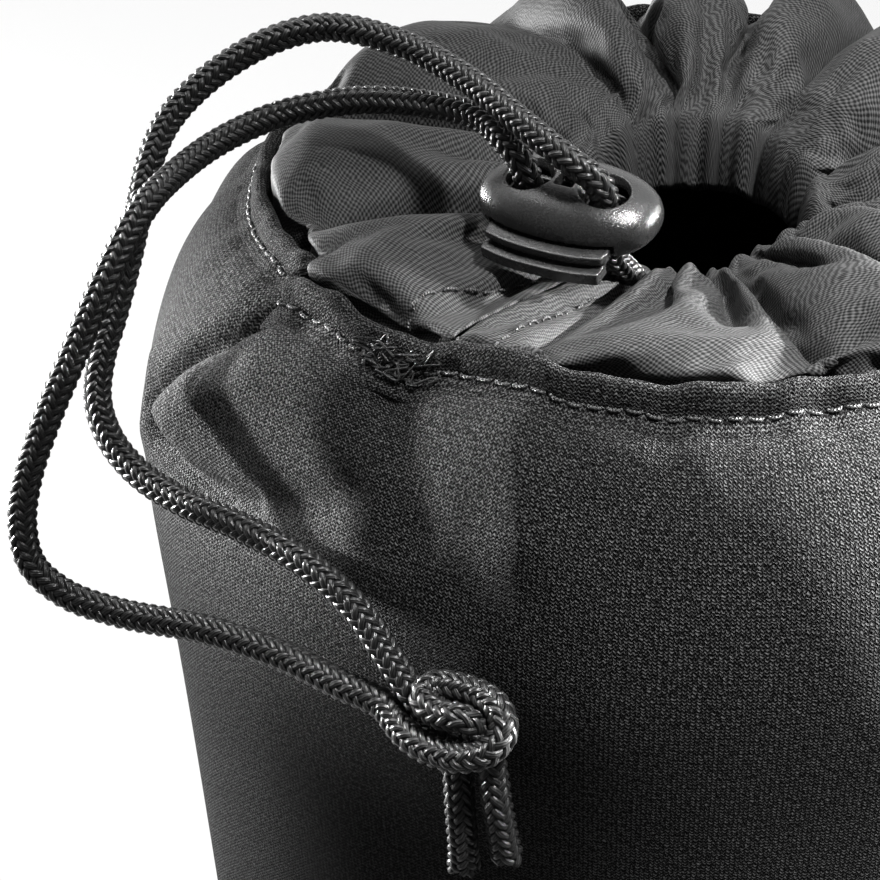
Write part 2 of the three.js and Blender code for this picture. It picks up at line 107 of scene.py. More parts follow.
def soft_box(name, place, target, side, power):
    data = bpy.data.lights.new(name, "AREA")
    data.shape = "SQUARE"
    data.size = side
    data.energy = power
    aimed_object(data, place, Vector(target) - Vector(place))


# A soft-edged beam, which fades towards the far side of the object
def soft_beam(name, place, target, cone, radius, power):
    data = bpy.data.lights.new(name, "SPOT")
    data.spot_size = radians(cone)
    data.spot_blend = 1.0
    data.shadow_soft_size = radius
    data.energy = power
    aimed_object(data, place, Vector(target) - Vector(place))


# Node trees, of the surround and of the materials
class Nodes:
    """A node tree, and short ways to wire maths into it."""

    def __init__(self, tree):
        self.tree = tree

    def feed(self, socket, value):
        if isinstance(value, bpy.types.NodeSocket):
            self.tree.links.new(value, socket)
        else:
            socket.default_value = value

    # A node with its inputs fed in order or by name
    def node(self, kind, *values, **named):
        made = self.tree.nodes.new(kind)
        for socket, value in zip(made.inputs, values):
            self.feed(socket, value)
        for name, value in named.items():
            self.feed(made.inputs[name.replace("_", " ")], value)
        return made

    def maths(self, operation, *values):
        made = self.node("ShaderNodeMath", *values)
        made.operation = operation
        return made.outputs[0]

    def coordinates(self, output="UV"):
        return self.node("ShaderNodeTexCoord").outputs[output]

    def split(self, vector):
        made = self.node("ShaderNodeSeparateXYZ", vector)
        return made.outputs["X"], made.outputs["Y"]

    def ramp(self, value, low, high, dark, light):
        ends = {"From_Min": low, "From_Max": high, "To_Min": dark, "To_Max": light}
        return self.node("ShaderNodeMapRange", Value=value, **ends).outputs[0]


# White behind the object, for the camera and for what shines, and a soft grey surround for the light
def set_world():
    world = bpy.data.worlds.new("studio")
    bpy.context.scene.world = world
    world.use_nodes = True
    world.node_tree.nodes.clear()
    tree = Nodes(world.node_tree)
    surround = tree.node("ShaderNodeBackground", (1, 1, 1, 1), 0.09).outputs[0]
    white = tree.node("ShaderNodeBackground", (1, 1, 1, 1), 1).outputs[0]
    rays = tree.node("ShaderNodeLightPath").outputs
    _, towards_back = tree.split(tree.coordinates("Generated"))
    shining = tree.maths("MAXIMUM", rays["Is Glossy Ray"], rays["Is Transmission Ray"])
    shining = tree.maths("MULTIPLY", shining, tree.ramp(towards_back, -0.2, 0.4, 0, 1))
    share = tree.maths("MAXIMUM", rays["Is Camera Ray"], shining)
    mix = tree.node("ShaderNodeMixShader", share, surround, white)
    tree.node("ShaderNodeOutputWorld", mix.outputs[0])


set_camera()
set_world()
soft_beam("front_right", (0.27, -0.17, 0.88), (0.07, -0.035, 0.21), 17, 0.06, 110)
soft_beam("right_edge", (0.52, 0.1, 0.36), (0.06, -0.03, 0.202), 7, 0.03, 410)
soft_beam("left_crease", (-0.5, 0.12, 0.29), (-0.058, -0.032, 0.203), 4.4, 0.02, 135)
soft_box("left_edge", (-0.56, 0.36, 0.16), (-0.05, 0, 0.16), 0.2, 12)
soft_box("top", (-0.2, 0.16, 0.8), (-0.01, 0, 0.21), 0.2, 1.5)
bpy.context.scene.view_settings.view_transform = "Standard"


# Materials
class Shader(Nodes):
    """The node tree of a material with one principled shader."""

    def __init__(self, name, **values):
        self.material = bpy.data.materials.new(name)
        self.material.use_nodes = True
        super().__init__(self.material.node_tree)
        self.surface = self.tree.nodes["Principled BSDF"].inputs
        for socket, value in values.items():
            self.surface[socket.replace("_", " ")].default_value = value

    # UVs are in mm; a piece without them takes its place in the object instead
    def cloth_mm(self, has_uvs):
        if has_uvs:
            return self.coordinates()
        made = self.node("ShaderNodeVectorMath", self.coordinates("Object"))
        made.operation = "SCALE"
        made.inputs["Scale"].default_value = 1 / MM
        return made.outputs[0]

    def noise(self, vector, scale, detail=2.0, roughness=0.5):
        settings = {"Scale": scale, "Detail": detail, "Roughness": roughness}
        return self.node("ShaderNodeTexNoise", Vector=vector, **settings).outputs[0]

    def wave(self, value, length):
        return self.maths("SINE", self.maths("MULTIPLY", value, ROUND / length))

    def grey(self, value):
        made = self.node("ShaderNodeCombineColor", value, value, value)
        self.feed(self.surface["Base Color"], made.outputs[0])

    # Small relief, with its depth in mm
    def bump(self, height, depth):
        made = self.node("ShaderNodeBump", Strength=1.0, Distance=depth * MM, Height=height)
        self.feed(self.surface["Normal"], made.outputs["Normal"])

    # A fine grain in tone and relief
    def grained(self, scale, tones, depth, detail=2.0, roughness=0.5):
        grain = self.noise(self.coordinates("Object"), scale, detail, roughness)
        self.grey(self.ramp(grain, 0.3, 0.7, *tones))
        self.bump(grain, depth)
        return self.material


# Jersey-faced neoprene: V-shaped loops in columns, with painted shade in the grooves and gaps between the
# loops, and loose fibres painted bright in the colour as glints
KNIT_LOOP = 0.46
KNIT_ROW = 0.4


def knit_material(name, has_uvs=True):
    shader = Shader(name, Roughness=0.8, Sheen_Weight=0.012, Sheen_Roughness=0.5, Specular_IOR_Level=0.06)
    uv = shader.cloth_mm(has_uvs)
    across, along = shader.split(uv)
    wobble = shader.noise(uv, 1.4)
    across = shader.maths("ADD", across, shader.maths("MULTIPLY", wobble, 0.55))
    along = shader.maths("ADD", along, shader.maths("MULTIPLY", wobble, 0.4))
    column = shader.maths("PINGPONG", across, KNIT_LOOP / 2)
    slanted = shader.maths("ADD", along, shader.maths("MULTIPLY", column, 1.1))
    rows = shader.ramp(shader.wave(slanted, KNIT_ROW), -1.0, 1.0, 0.0, 1.0)
    groove = shader.ramp(shader.wave(across, KNIT_LOOP), -1.0, 0.2, 0.35, 1.0)
    # The loops' relief also sets the colour: darker in the grooves and gaps between loops, as painted shade
    loops = shader.maths("MULTIPLY", rows, groove)
    fibre = shader.noise(uv, 2.2, 3.0, 0.8)
    # Fibre noise brightens the colour into specks as painted glints, and darkens it elsewhere at random
    painted_fibre_glints = shader.ramp(fibre, 0.42, 0.68, 0.12, 2.6)
    patch = shader.ramp(shader.noise(uv, 0.05), 0.3, 0.7, 0.8, 1.2)
    tone = shader.maths("MULTIPLY", shader.maths("MULTIPLY", loops, painted_fibre_glints), patch)
    shader.grey(shader.ramp(tone, 0.0, 1.0, 0.001, 0.12))
    shader.bump(shader.maths("ADD", loops, shader.maths("MULTIPLY", fibre, 0.6)), 0.22)
    return shader.material


# Plain-woven nylon with a slight sheen, its yarn crowns painted lighter as highlights and the gaps between
# yarns painted darker as shade
WEAVE_PITCH = 0.54


def weave_material(name, has_uvs=True):
    shader = Shader(name, Roughness=0.58, Sheen_Weight=0.02, Sheen_Roughness=0.4, Specular_IOR_Level=0.12)
    uv = shader.cloth_mm(has_uvs)
    drift = shader.maths("MULTIPLY", shader.noise(uv, 0.5), 0.9)
    across, along = [shader.maths("ADD", way, drift) for way in shader.split(uv)]
    weave = shader.maths("MULTIPLY", shader.wave(across, WEAVE_PITCH), shader.wave(along, WEAVE_PITCH))
    yarns = shader.ramp(weave, -0.6, 0.9, 0.0, 1.0)
    slub = shader.ramp(shader.noise(uv, 1.6), 0.3, 0.7, 0.75, 1.2)
    # The weave's relief also sets the colour: painted highlights on the yarn crowns and painted shade
    # between yarns, with a random slub tone
    shader.grey(shader.ramp(shader.maths("MULTIPLY", yarns, slub), 0.0, 1.0, 0.006, 0.1))
    shader.bump(yarns, 0.03)
    return shader.material


# Braid yarn whose filaments are painted lighter on their crowns and darker between them, as highlight and
# shade, broken up at random: U runs along the yarn in mm, and V once round it
FILAMENTS = 8


def braid_material():
    shader = Shader("braid", Roughness=0.36, Specular_IOR_Level=0.6)
    uv = shader.coordinates()
    _, round_it = shader.split(uv)
    drift = shader.maths("MULTIPLY", shader.noise(uv, 1.2, 1.0), 0.12)
    filament = shader.wave(shader.maths("ADD", round_it, drift), 1 / FILAMENTS)
    broken = shader.noise(uv, 2.4)
    # The filaments' relief also sets the colour: painted highlights on the filaments and painted shade
    # between them
    shader.grey(shader.ramp(shader.maths("MULTIPLY", filament, broken), -0.4, 0.6, 0.004, 0.042))
    shader.bump(filament, 0.012)
    return shader.material


# Satin moulded plastic with a fine grain
def plastic_material():
    shader = Shader("lock_plastic", Metallic=0.7)
    worn = shader.noise(shader.coordinates("Object"), 700)
    shader.feed(shader.surface["Roughness"], shader.ramp(worn, 0.3, 0.7, 0.22, 0.3))
    return shader.grained(5500, (0.05, 0.095), 0.045, roughness=0.6)


def thread_material():
    shader = Shader("thread", Roughness=0.4)
    along, round_it = shader.split(shader.coordinates())
    twist = shader.wave(shader.maths("ADD", along, shader.maths("MULTIPLY", round_it, 0.5)), 0.35)
    # The twist's relief also sets the colour: lighter plies as painted highlight, darker grooves between
    # them as painted shade
    shader.grey(shader.ramp(twist, -1.0, 1.0, 0.015, 0.11))
    shader.bump(twist, 0.05)
    return shader.material


def cloth_material(name, dark, light):
    return Shader(name, Roughness=0.95).grained(2500, (dark, light), 0.1, 3.0, 0.7)


def steel_material():
    return Shader("spring_steel", Roughness=0.28, Metallic=1.0).grained(4000, (0.5, 0.62), 0.01)


KNIT = knit_material("knit")
NYLON = weave_material("nylon")
BRAID = braid_material()
PLASTIC = plastic_material()
THREAD = thread_material()
LINING = cloth_material("lining", 0.02, 0.06)
FOAM = cloth_material("foam", 0.02, 0.05)
STEEL = steel_material()


# Meshes, from points in mm
def mesh_object(name, points, faces, material, corner_uvs=None):
    mesh = bpy.data.meshes.new(name)
    mesh.from_pydata((np.asarray(points) * MM).tolist(), [], faces)
    if corner_uvs is not None:
        layer = mesh.uv_layers.new(name="UVMap")
        layer.data.foreach_set("uv", np.asarray(corner_uvs, dtype=np.float32).ravel())
    mesh.shade_smooth()
    mesh.materials.append(material)
    return new_object(name, mesh)


# Quads over a grid of points; closed rows or columns join the last one to the first
def grid_faces(rows, columns, closed_rows=False, closed_columns=False):
    i = np.arange(rows if closed_rows else rows - 1)[:, None]
    j = np.arange(columns if closed_columns else columns - 1)[None, :]
    below = i * columns
    above = (i + 1) % rows * columns
    after = (j + 1) % columns
    return np.stack([below + j, below + after, above + after, above + j], axis=-1).reshape(-1, 4)


# Texture coordinates of those quads' corners, from one value for each line of the grid
def grid_uvs(us, vs):
    u = np.stack([us[:-1], us[1:], us[1:], us[:-1]], axis=-1)[None, :]
    v = np.stack([vs[:-1], vs[:-1], vs[1:], vs[1:]], axis=-1)[:, None]
    return np.stack(np.broadcast_arrays(u, v), axis=-1).reshape(-1, 2)


def along_lengths(points):
    steps = np.linalg.norm(np.diff(points, axis=0), axis=1)
    return np.concatenate([[0], np.cumsum(steps)])


# Points of a line at given lengths along it
def points_at(wanted, lengths, line):
    return np.stack([np.interp(wanted, lengths, line[:, axis]) for axis in range(3)], axis=-1)


# A smooth line through points (a centripetal spline), at even steps
def smooth_line(points, step):
    points = np.asarray(points, dtype=float)
    ends = np.vstack([2 * points[0] - points[1], points, 2 * points[-1] - points[-2]])

    def mixed(first, second, start, end, x):
        return (end - x) / (end - start) * first + (x - start) / (end - start) * second

    line = []
    for k in range(len(points) - 1):
        p = ends[k:k + 4]
        t = np.concatenate([[0], np.cumsum(np.sqrt(np.linalg.norm(np.diff(p, axis=0), axis=1)))])
        x = np.linspace(t[1], t[2], 24, endpoint=False)[:, None]
        a = [mixed(p[i], p[i + 1], t[i], t[i + 1], x) for i in range(3)]
        b = [mixed(a[i], a[i + 1], t[i], t[i + 2], x) for i in range(2)]
        line.append(mixed(b[0], b[1], t[1], t[2], x))
    line = np.vstack([*line, points[-1:]])
    lengths = along_lengths(line)
    count = max(2, round(lengths[-1] / step))
    return points_at(np.linspace(0, lengths[-1], count + 1), lengths, line)


def unit(vectors):
    return vectors / np.linalg.norm(vectors, axis=-1, keepdims=True)


# Directions along and across a line that turn as little as they can
def travel_frames(line):
    along = unit(np.gradient(line, axis=0))
    sides = [unit(np.cross(along[0], (0.3, 0.2, 0.93)))]
    for direction in along[1:]:
        sides.append(unit(sides[-1] - direction * sides[-1].dot(direction)))
    sides = np.array(sides)
    return along, sides, np.cross(along, sides)


# Rings of points round a line, in the plane of two directions
def line_rings(line, first, second, first_radius, second_radius, count):
    angles = ROUND * np.arange(count) / count
    return (
        line[:, None]
        + first[:, None] * (first_radius * np.cos(angles))[None, :, None]
        + second[:, None] * (second_radius * np.sin(angles))[None, :, None]
    )


class Tubes:
    """Points, faces and corner UVs of several closed tubes, gathered into one piece."""

    def __init__(self):
        self.points = []
        self.faces = []
        self.uvs = []
        self.count = 0

    def add(self, rings, us):
        rows, sides = rings.shape[:2]
        corners = grid_faces(rows, sides, closed_columns=True)[:, ::-1] + self.count
        uvs = grid_uvs(np.linspace(0, 1, sides + 1), us)
        self.points.append(rings.reshape(-1, 3))
        self.faces.extend(corners.tolist())
        self.uvs.extend(uvs.reshape(-1, 4, 2)[:, ::-1, ::-1].reshape(-1, 2).tolist())
        first = np.arange(sides) + self.count
        last = first + (rows - 1) * sides
        self.faces.append(first.tolist())
        self.faces.append(last[::-1].tolist())
        self.uvs.extend([[0.0, 0.0]] * (2 * sides))
        self.count += rows * sides

    def add_thread(self, line, radius):
        _, sides, ups = travel_frames(line)
        self.add(line_rings(line, sides, ups, radius, radius, 7), along_lengths(line))

    def made(self, name, material):
        return mesh_object(name, np.vstack(self.points), self.faces, material, self.uvs)


# Braided cord: yarns that wind both ways round a core, over and under each other
CARRIERS = 8
BRAID_MIDDLE = 1.08
BRAID_WAVE = 0.24
BRAID_TURN = 0.72
YARN_WIDTH = 0.38
YARN_DEPTH = 0.27
YARN_SIDES = 8
CORE_RADIUS = 0.86
CORE_SIDES = 10
CORD_STEP = 0.32
# A cut end flares by a share that fades over a length, and its core stops some steps short
FLARE = 0.22
FLARE_LENGTH = 0.9
CORE_SHORT = 6


def yarn_rings(line, frames, start, way, index, swell):
    along, sides, ups = frames
    s = start + along_lengths(line)
    crossings = 2 * BRAID_TURN * s * CARRIERS / ROUND
    wave = np.cos(pi * (2 * index + way * crossings - 0.5) / 2)
    radius = (BRAID_MIDDLE + way * BRAID_WAVE * wave) * swell
    turn = ROUND * index / CARRIERS + way * BRAID_TURN * s
    out = sides * np.cos(turn)[:, None] + ups * np.sin(turn)[:, None]
    round_it = -sides * np.sin(turn)[:, None] + ups * np.cos(turn)[:, None]
    lean = math.atan(BRAID_TURN * BRAID_MIDDLE)
    direction = along * cos(lean) + way * round_it * sin(lean)
    flat = np.cross(direction, out)
    rings = line_rings(line + out * radius[:, None], out, flat, YARN_DEPTH, YARN_WIDTH, YARN_SIDES)
    return rings, s / cos(lean)


# One piece of braided cord along part of a line, so that pieces of one line meet without a step
def braided(name, whole, begin, end, flare_end=False):
    frames = [f[begin:end] for f in travel_frames(whole)]
    lengths = along_lengths(whole)
    line = whole[begin:end]
    from_end = lengths[-1] - lengths[begin:end]
    swell = 1 + FLARE * np.exp(-from_end / FLARE_LENGTH) if flare_end else np.ones(len(line))
    tubes = Tubes()
    for way in (1, -1):
        for index in range(CARRIERS):
            last = len(line) - (int(random.integers(0, 3)) if flare_end else 0)
            rings, us = yarn_rings(line, frames, lengths[begin], way, index, swell)
            tubes.add(rings[:last], us[:last])
    core = line_rings(line, frames[1], frames[2], CORE_RADIUS, CORE_RADIUS, CORE_SIDES)
    core_end = len(line) - CORE_SHORT if flare_end else len(line)
    tubes.add(core[:core_end], lengths[begin:end][:core_end])
    return tubes.made(name, BRAID)


# The cord lock's own axes: its holes run along Z, and its button faces -Y
LOCK_PLACE = (
    Matrix.Translation((-12.7, -19.7, HEM + 8.6))
    @ Matrix.Rotation(radians(-24.5), 4, "Z")
    @ Matrix.Rotation(radians(15), 4, "X")
)
LOCK_TOP = 3.5
LOCK_HALF = (10.0, 5.85, LOCK_TOP)
HOLE_X = 4.4
CORD_Y = -0.45


def in_lock(x, y, z):
    return list(LOCK_PLACE @ Vector((x, y, z)))


# The cord in a lock's hole, at heights in the lock
def in_hole(side, heights):
    return [in_lock(side * HOLE_X, CORD_Y, z) for z in heights]


# The hidden run of the cord: round the mouth in its casing, and up into the lock. The slit is in degrees.
SLIT = -29
SLIT_HALF = 17
RING_RADIUS = 14.6
RING_DEPTH = 5.4


# The mouth stands higher at the back
def mouth_height(degrees):
    return 3.2 - 2.4 * np.cos(np.radians(degrees))


def ring_point(degrees, spread=0.0):
    turn = radians(degrees)
    radius = RING_RADIUS + spread
    height = HEM + mouth_height(degrees) - RING_DEPTH + spread
    return [radius * sin(turn), -radius * cos(turn), height]


def lay_drawcord():
    points = [ring_point(a) for a in np.linspace(SLIT + SLIT_HALF, SLIT + 360 - SLIT_HALF, 40)]
    line = smooth_line(points, CORD_STEP)
    dress(braided("drawcord_braided", line, 0, len(line)), "pouch", "braid", "drawcord")


def lay_riser(name, side):
    foot = [ring_point(SLIT + side * (SLIT_HALF - k), 0.1 * k) for k in (0, 6)]
    under = in_hole(side, (-LOCK_TOP - 1.2, -1.2, 0.8))
    middle = [(a + b) / 2 for a, b in zip(foot[1], under[0])]
    line = smooth_line([*foot, middle, *under], CORD_STEP)
    made = braided(name + "_braided", line, 0, len(line))
    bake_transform(made)
    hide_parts(name)
    return made


lay_drawcord()
left_riser = lay_riser("cord_riser_left", -1)
right_riser = lay_riser("cord_riser_right", 1)


# The free strands, from the lock round the left side to the knot; a turn counts to the top of a loop
KNOT_CENTRE = np.array([-20.8, -62.0, HEM - 28.6])
KNOT_RIGHT = np.array([0.948, -0.318, 0.0])
KNOT_OUT = np.array([-0.318, -0.948, 0.0])
RIGHT_ROUTE = [
    [-10, -23.1, 225], [-12.2, -22.9, 226.6], [-14.8, -21.4, 227.9], [-18.2, -18.5, 229.3],
    [-24, -12.5, 231], [-31.5, -7, 232.5], [-39.5, -4.5, 233], [-45.5, -5, 231.5], [-51.5, -8, 228.5],
    [-55.5, -12.5, 225.2], [-57, -17, 222], [-57.5, -21, 218.5], [-58, -25, 215], [-59, -28.5, 210.5],
    [-60, -31.7, 206.5], [-60, -34.3, 203.2], [-58.3, -37, 200.3], [-55, -40, 198.3], [-50, -43.4, 197.2],
    [-43.5, -47.3, 197], [-36.5, -52, 196.2], [-31, -55.6, 193.6], [-27.5, -58.2, 189.8],
]
RIGHT_TURN = 6
LEFT_ROUTE = [
    [-17.9, -18.8, 224.9], [-19.4, -17.4, 226.2], [-22.4, -13.6, 227.2], [-29.5, -9, 226.7],
    [-37, -6.8, 225.7], [-44.5, -7.8, 224.2], [-50, -12.3, 223], [-53.8, -19, 222], [-56, -25.5, 221],
    [-58.5, -31.5, 216.8], [-61.5, -36.5, 210], [-64, -40, 204], [-65.8, -42.5, 198.5], [-66.3, -44.2, 194],
    [-65.2, -45.8, 190.3], [-61.7, -47.3, 188], [-56, -48.8, 187], [-47, -51.3, 187.2],
    [-38.5, -54.6, 186.8], [-32, -57.9, 185.9], [-27.8, -59.8, 185.2],
]
LEFT_TURN = 5
# In the knot, to the right, outwards and up from its centre: the right strand runs straight through,
# and the left one wraps round it and comes back through its own loop
RIGHT_KNOT = [
    (-4.4, -0.6, 3.3), (-2.8, -0.4, 1.8), (-1, 0, 0.5), (0.2, 0.2, -1.3), (0.8, 0.6, -3.8),
    (1.4, 1.4, -7.1), (1.7, 1.4, -11), (1.6, 0.8, -14.7),
]
LEFT_KNOT = [
    (-5.6, 1.2, 1.1), (-3.4, 2.6, 0.7), (-0.4, 3.5, 0.5), (2.6, 3.7, 0.8), (4.9, 3, 1.7), (5.9, 1.7, 3.2),
    (5, 0.3, 4.5), (2.8, -0.8, 5), (-0.1, -1, 5.2), (-2.4, -0.4, 5.1), (-2.6, 1, 4.4),
    (-0.5, 2.1, 4), (1.9, 2.4, 4.3), (3.2, 1.5, 2.8), (3.8, 0.3, 0.2), (4.4, 0.5, -2.5),
    (5.2, 1.2, -5.6), (5.8, 1.1, -9.2), (6.1, 0.6, -12.3),
]


def in_knot(points):
    up = np.array([0, 0, 1.0])
    return [(KNOT_CENTRE + x * KNOT_RIGHT + y * KNOT_OUT + z * up).tolist() for x, y, z in points]


def nearest(line, point):
    return int(np.argmin(np.linalg.norm(line - np.array(point), axis=1)))


# A strand is split at the top of its loop: the part from the lock is attached to no body, and the rest
# moves with the pouch from there
def lay_strand(name, side, route, knot, turn_point):
    whole = smooth_line(in_hole(side, (-1.1, 0.8, 2.6)) + route + in_knot(knot), CORD_STEP)
    split = nearest(whole, route[turn_point])
    upper = braided(name + "_upper", whole, 0, split + 1)
    lower = braided(name + "_lower", whole, split, len(whole), True)
    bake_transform(upper)
    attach(lower, "pouch")
    return upper, lower


right_upper, right_lower = lay_strand("cord_right", 1, RIGHT_ROUTE, RIGHT_KNOT, RIGHT_TURN)
left_upper, left_lower = lay_strand("cord_left", -1, LEFT_ROUTE, LEFT_KNOT, LEFT_TURN)
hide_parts("cord_strand_right")
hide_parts("cord_strand_left")
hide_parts("cord_tail_left", "cord_knot")
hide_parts("cord_tail_right")


# Cord lock: solids joined and cut in the lock's own axes, then rounded as a moulding is
FAR = 30.0
LOCK_FULLNESS = 2.4
HOLE_RADIUS = 2.25
RIM_RADII = (HOLE_RADIUS - 0.1, HOLE_RADIUS + 0.9)
RIM_HEIGHTS = (2.0, 3.8)
CHAMBER_HALF = (8.4, 4.45, 1.8)
WINDOW_HALF = 1.1
TRAVEL = 1.8
GAP = 0.3
RECESS_HALF = 7.1
RECESS_BACK = -3.4
BUTTON_TOP = -0.3
BUTTON_LOW = -2.8
BUTTON_HALF = 6.7
BUTTON_BACK = RECESS_BACK - TRAVEL - GAP
RECESS_TOP = BUTTON_TOP + GAP
TONGUE_HALF = (8.1, 4.15, 1.5)
NECK_HALF = 6.8
# The tongue's top is left as a bridge between the holes, and its slots let the cords through
BRIDGE_HALF = 2.6
BRIDGE_FRONT = -2.5
SLOT_HALF = 1.8
SLOT_ENDS = (-4.05, 1.35)
SPRING_ROOM_HALF = 1.6


def loose_object(mesh):
    data = bpy.data.meshes.new("shape")
    mesh.to_mesh(data)
    mesh.free()
    return new_object("shape", data)


def prism(outline, low, high):
    mesh = bmesh.new()
    bottom = [mesh.verts.new((x, y, low)) for x, y in outline]
    top = [mesh.verts.new((x, y, high)) for x, y in outline]
    mesh.faces.new(bottom[::-1])
    mesh.faces.new(top)
    for k in range(len(outline)):
        after = (k + 1) % len(outline)
        mesh.faces.new([bottom[k], bottom[after], top[after], top[k]])
    return loose_object(mesh)


def block(x0, x1, y0, y1, low=-FAR, high=FAR):
    return prism([(x0, y0), (x1, y0), (x1, y1), (x0, y1)], low, high)


def powered(value):
    return math.copysign(abs(value) ** (2 / LOCK_FULLNESS), value)


def oval(half_x, half_y, shift_y=0.0):
    turns = [ROUND * k / 96 for k in range(96)]
    return [(half_x * powered(cos(t)), half_y * powered(sin(t)) + shift_y) for t in turns]


def pebble(half):
    mesh = bmesh.new()
    bmesh.ops.create_uvsphere(mesh, u_segments=96, v_segments=48, radius=1)
    for vert in mesh.verts:
        polar = math.acos(max(-1, min(1, vert.co.z)))
        turn = math.atan2(vert.co.y, vert.co.x)
        belt = powered(sin(polar))
        vert.co = (
            half[0] * belt * powered(cos(turn)),
            half[1] * belt * powered(sin(turn)),
            half[2] * powered(cos(polar)),
        )
    return loose_object(mesh)


def upright(radius_low, radius_high, x, low, high):
    mesh = bmesh.new()
    bmesh.ops.create_cone(
        mesh, cap_ends=True, segments=64, radius1=radius_low, radius2=radius_high, depth=high - low,
        matrix=Matrix.Translation((x, 0, (low + high) / 2)),
    )
    return loose_object(mesh)


def add_steps(first, steps):
    for operation, shape in steps:
        modifier = first.modifiers.new("step", "BOOLEAN")
        modifier.operation = operation
        modifier.object = shape
        modifier.solver = "EXACT"


# The mesh that a shape's modifiers make, with the shape and those it used removed
def finished_mesh(first, steps):
    bpy.context.view_layer.update()
    mesh = bpy.data.meshes.new_from_object(first.evaluated_get(bpy.context.evaluated_depsgraph_get()))
    for shape in [first] + [shape for _, shape in steps]:
        bpy.data.objects.remove(shape)
    return mesh


# Applies joins and cuts to the first shape, remeshes it finely and softens its edges
def moulded(name, first, steps, voxel, softness):
    add_steps(first, steps)
    remesh = first.modifiers.new("remesh", "REMESH")
    remesh.mode = "VOXEL"
    remesh.voxel_size = voxel
    soften = first.modifiers.new("soften", "SMOOTH")
    soften.factor = 0.5
    soften.iterations = softness
    mesh = finished_mesh(first, steps)
    mesh.name = name
    mesh.transform(Matrix.Scale(MM, 4) @ LOCK_PLACE)
    mesh.shade_smooth()
    mesh.materials.clear()
    mesh.materials.append(PLASTIC)
    return new_object(name, mesh)


def lock_body():
    cuts = []
    for x in (-HOLE_X, HOLE_X):
        cuts.append(upright(HOLE_RADIUS, HOLE_RADIUS, x, -6, 6))
        cuts.append(upright(*RIM_RADII, x, *RIM_HEIGHTS))
        cuts.append(upright(*RIM_RADII[::-1], x, -RIM_HEIGHTS[1], -RIM_HEIGHTS[0]))
    half_x, half_y, half_z = CHAMBER_HALF
    cuts.append(prism(oval(half_x, half_y), -half_z, half_z))
    cuts.append(block(-RECESS_HALF, RECESS_HALF, -FAR, 0, -half_z, RECESS_TOP))
    cuts.append(block(-RECESS_HALF, RECESS_HALF, -FAR, RECESS_BACK, -FAR, RECESS_TOP))
    cuts.append(block(-WINDOW_HALF, WINDOW_HALF, -WINDOW_HALF, WINDOW_HALF, 0))
    steps = [("DIFFERENCE", cut) for cut in cuts]
    return moulded("lock_body_moulded", pebble(LOCK_HALF), steps, voxel=0.112, softness=6)


# The button's front: a ledge and a rib that follow the lock's outline, with a groove between
def button_front():
    def layer(reach, low, high):
        return prism(oval(LOCK_HALF[0] + reach, LOCK_HALF[1] + reach), low, high)

    ledge = layer(1.5, BUTTON_TOP - 0.8, BUTTON_TOP)
    groove = layer(1.05, BUTTON_TOP - 1.3, BUTTON_TOP - 0.6)
    rib = layer(2.6, BUTTON_LOW, BUTTON_TOP - 1.2)
    room = block(-BUTTON_HALF, BUTTON_HALF, -FAR, BUTTON_BACK, -3.5, 1)
    steps = [("UNION", groove), ("UNION", rib), ("INTERSECT", room)]
    add_steps(ledge, steps)
    return new_object("shape", finished_mesh(ledge, steps))


def lock_button():
    half_x, half_y, half_z = TONGUE_HALF
    tongue = prism(oval(half_x, half_y, -TRAVEL), -half_z, half_z)
    front = button_front()
    neck = block(-NECK_HALF, NECK_HALF, BUTTON_BACK - GAP, -TRAVEL, -half_z, BUTTON_TOP)
    cuts = [
        block(NECK_HALF, FAR, -FAR, FAR),
        block(-FAR, -NECK_HALF, -FAR, FAR),
        block(BRIDGE_HALF, FAR, -FAR, BRIDGE_FRONT, BUTTON_TOP),
        block(-FAR, -BRIDGE_HALF, -FAR, BRIDGE_FRONT, BUTTON_TOP),
        block(-FAR, FAR, -FAR, -half_y, BUTTON_TOP),
    ]
    for x in (-HOLE_X, HOLE_X):
        cuts.append(block(x - SLOT_HALF, x + SLOT_HALF, *SLOT_ENDS))
    cuts.append(block(-SPRING_ROOM_HALF, SPRING_ROOM_HALF, BRIDGE_FRONT, FAR))
    steps = [("UNION", neck), *[("DIFFERENCE", cut) for cut in cuts], ("UNION", front)]
    return moulded("lock_button_moulded", tongue, steps, voxel=0.09, softness=9)


dress(lock_body(), "cord_lock", "lock_plastic", "lock_body")
dress(lock_button(), "plunger", "lock_plastic", "lock_plunger")


# Pouch body: the panel's profile, with the creases and the slack of thick cloth.
# Distances round it are measured at one radius, and the kink in the hem is at an azimuth in degrees.
BODY_COLUMNS = 400
BODY_FOOT = 5.3
MEASURE_RADIUS = 57
KINK = -56
FLANGE_RADII = (47.5, 46, 44.5)


def turned_points(radius, height, azimuth):
    return np.stack([radius * np.sin(azimuth), -radius * np.cos(azimuth), height + 0 * azimuth], axis=-1)


# How far azimuths lie from a middle one, -180 to 180 degrees
def degrees_from(degrees, middle):
    return (degrees - middle + 180) % 360 - 180


# Radius and height from the base to the flange inside the hem, on the face or inset from it
def body_profile(inset, wall_rows, shoulder_rows):
    heights = np.linspace(BODY_FOOT, BELLY_Z, wall_rows, endpoint=False)
    share = heights / BELLY_Z
    bulge = share ** 2.2 + 2.2 * share ** 24 * (1 - share)
    wall = np.stack([BASE_RADIUS + (BELLY_RADIUS - BASE_RADIUS) * bulge - inset, heights], axis=-1)
    turns = np.linspace(0, pi / 2, shoulder_rows)
    out = HEM_RADIUS + (BELLY_RADIUS - HEM_RADIUS - inset) * np.cos(turns)
    shoulder = np.stack([out, BELLY_Z + (BELLY_DROP - inset) * np.sin(turns)], axis=-1)
    flange = [[radius, HEM - inset] for radius in FLANGE_RADII]
    return np.vstack([wall, shoulder, flange])


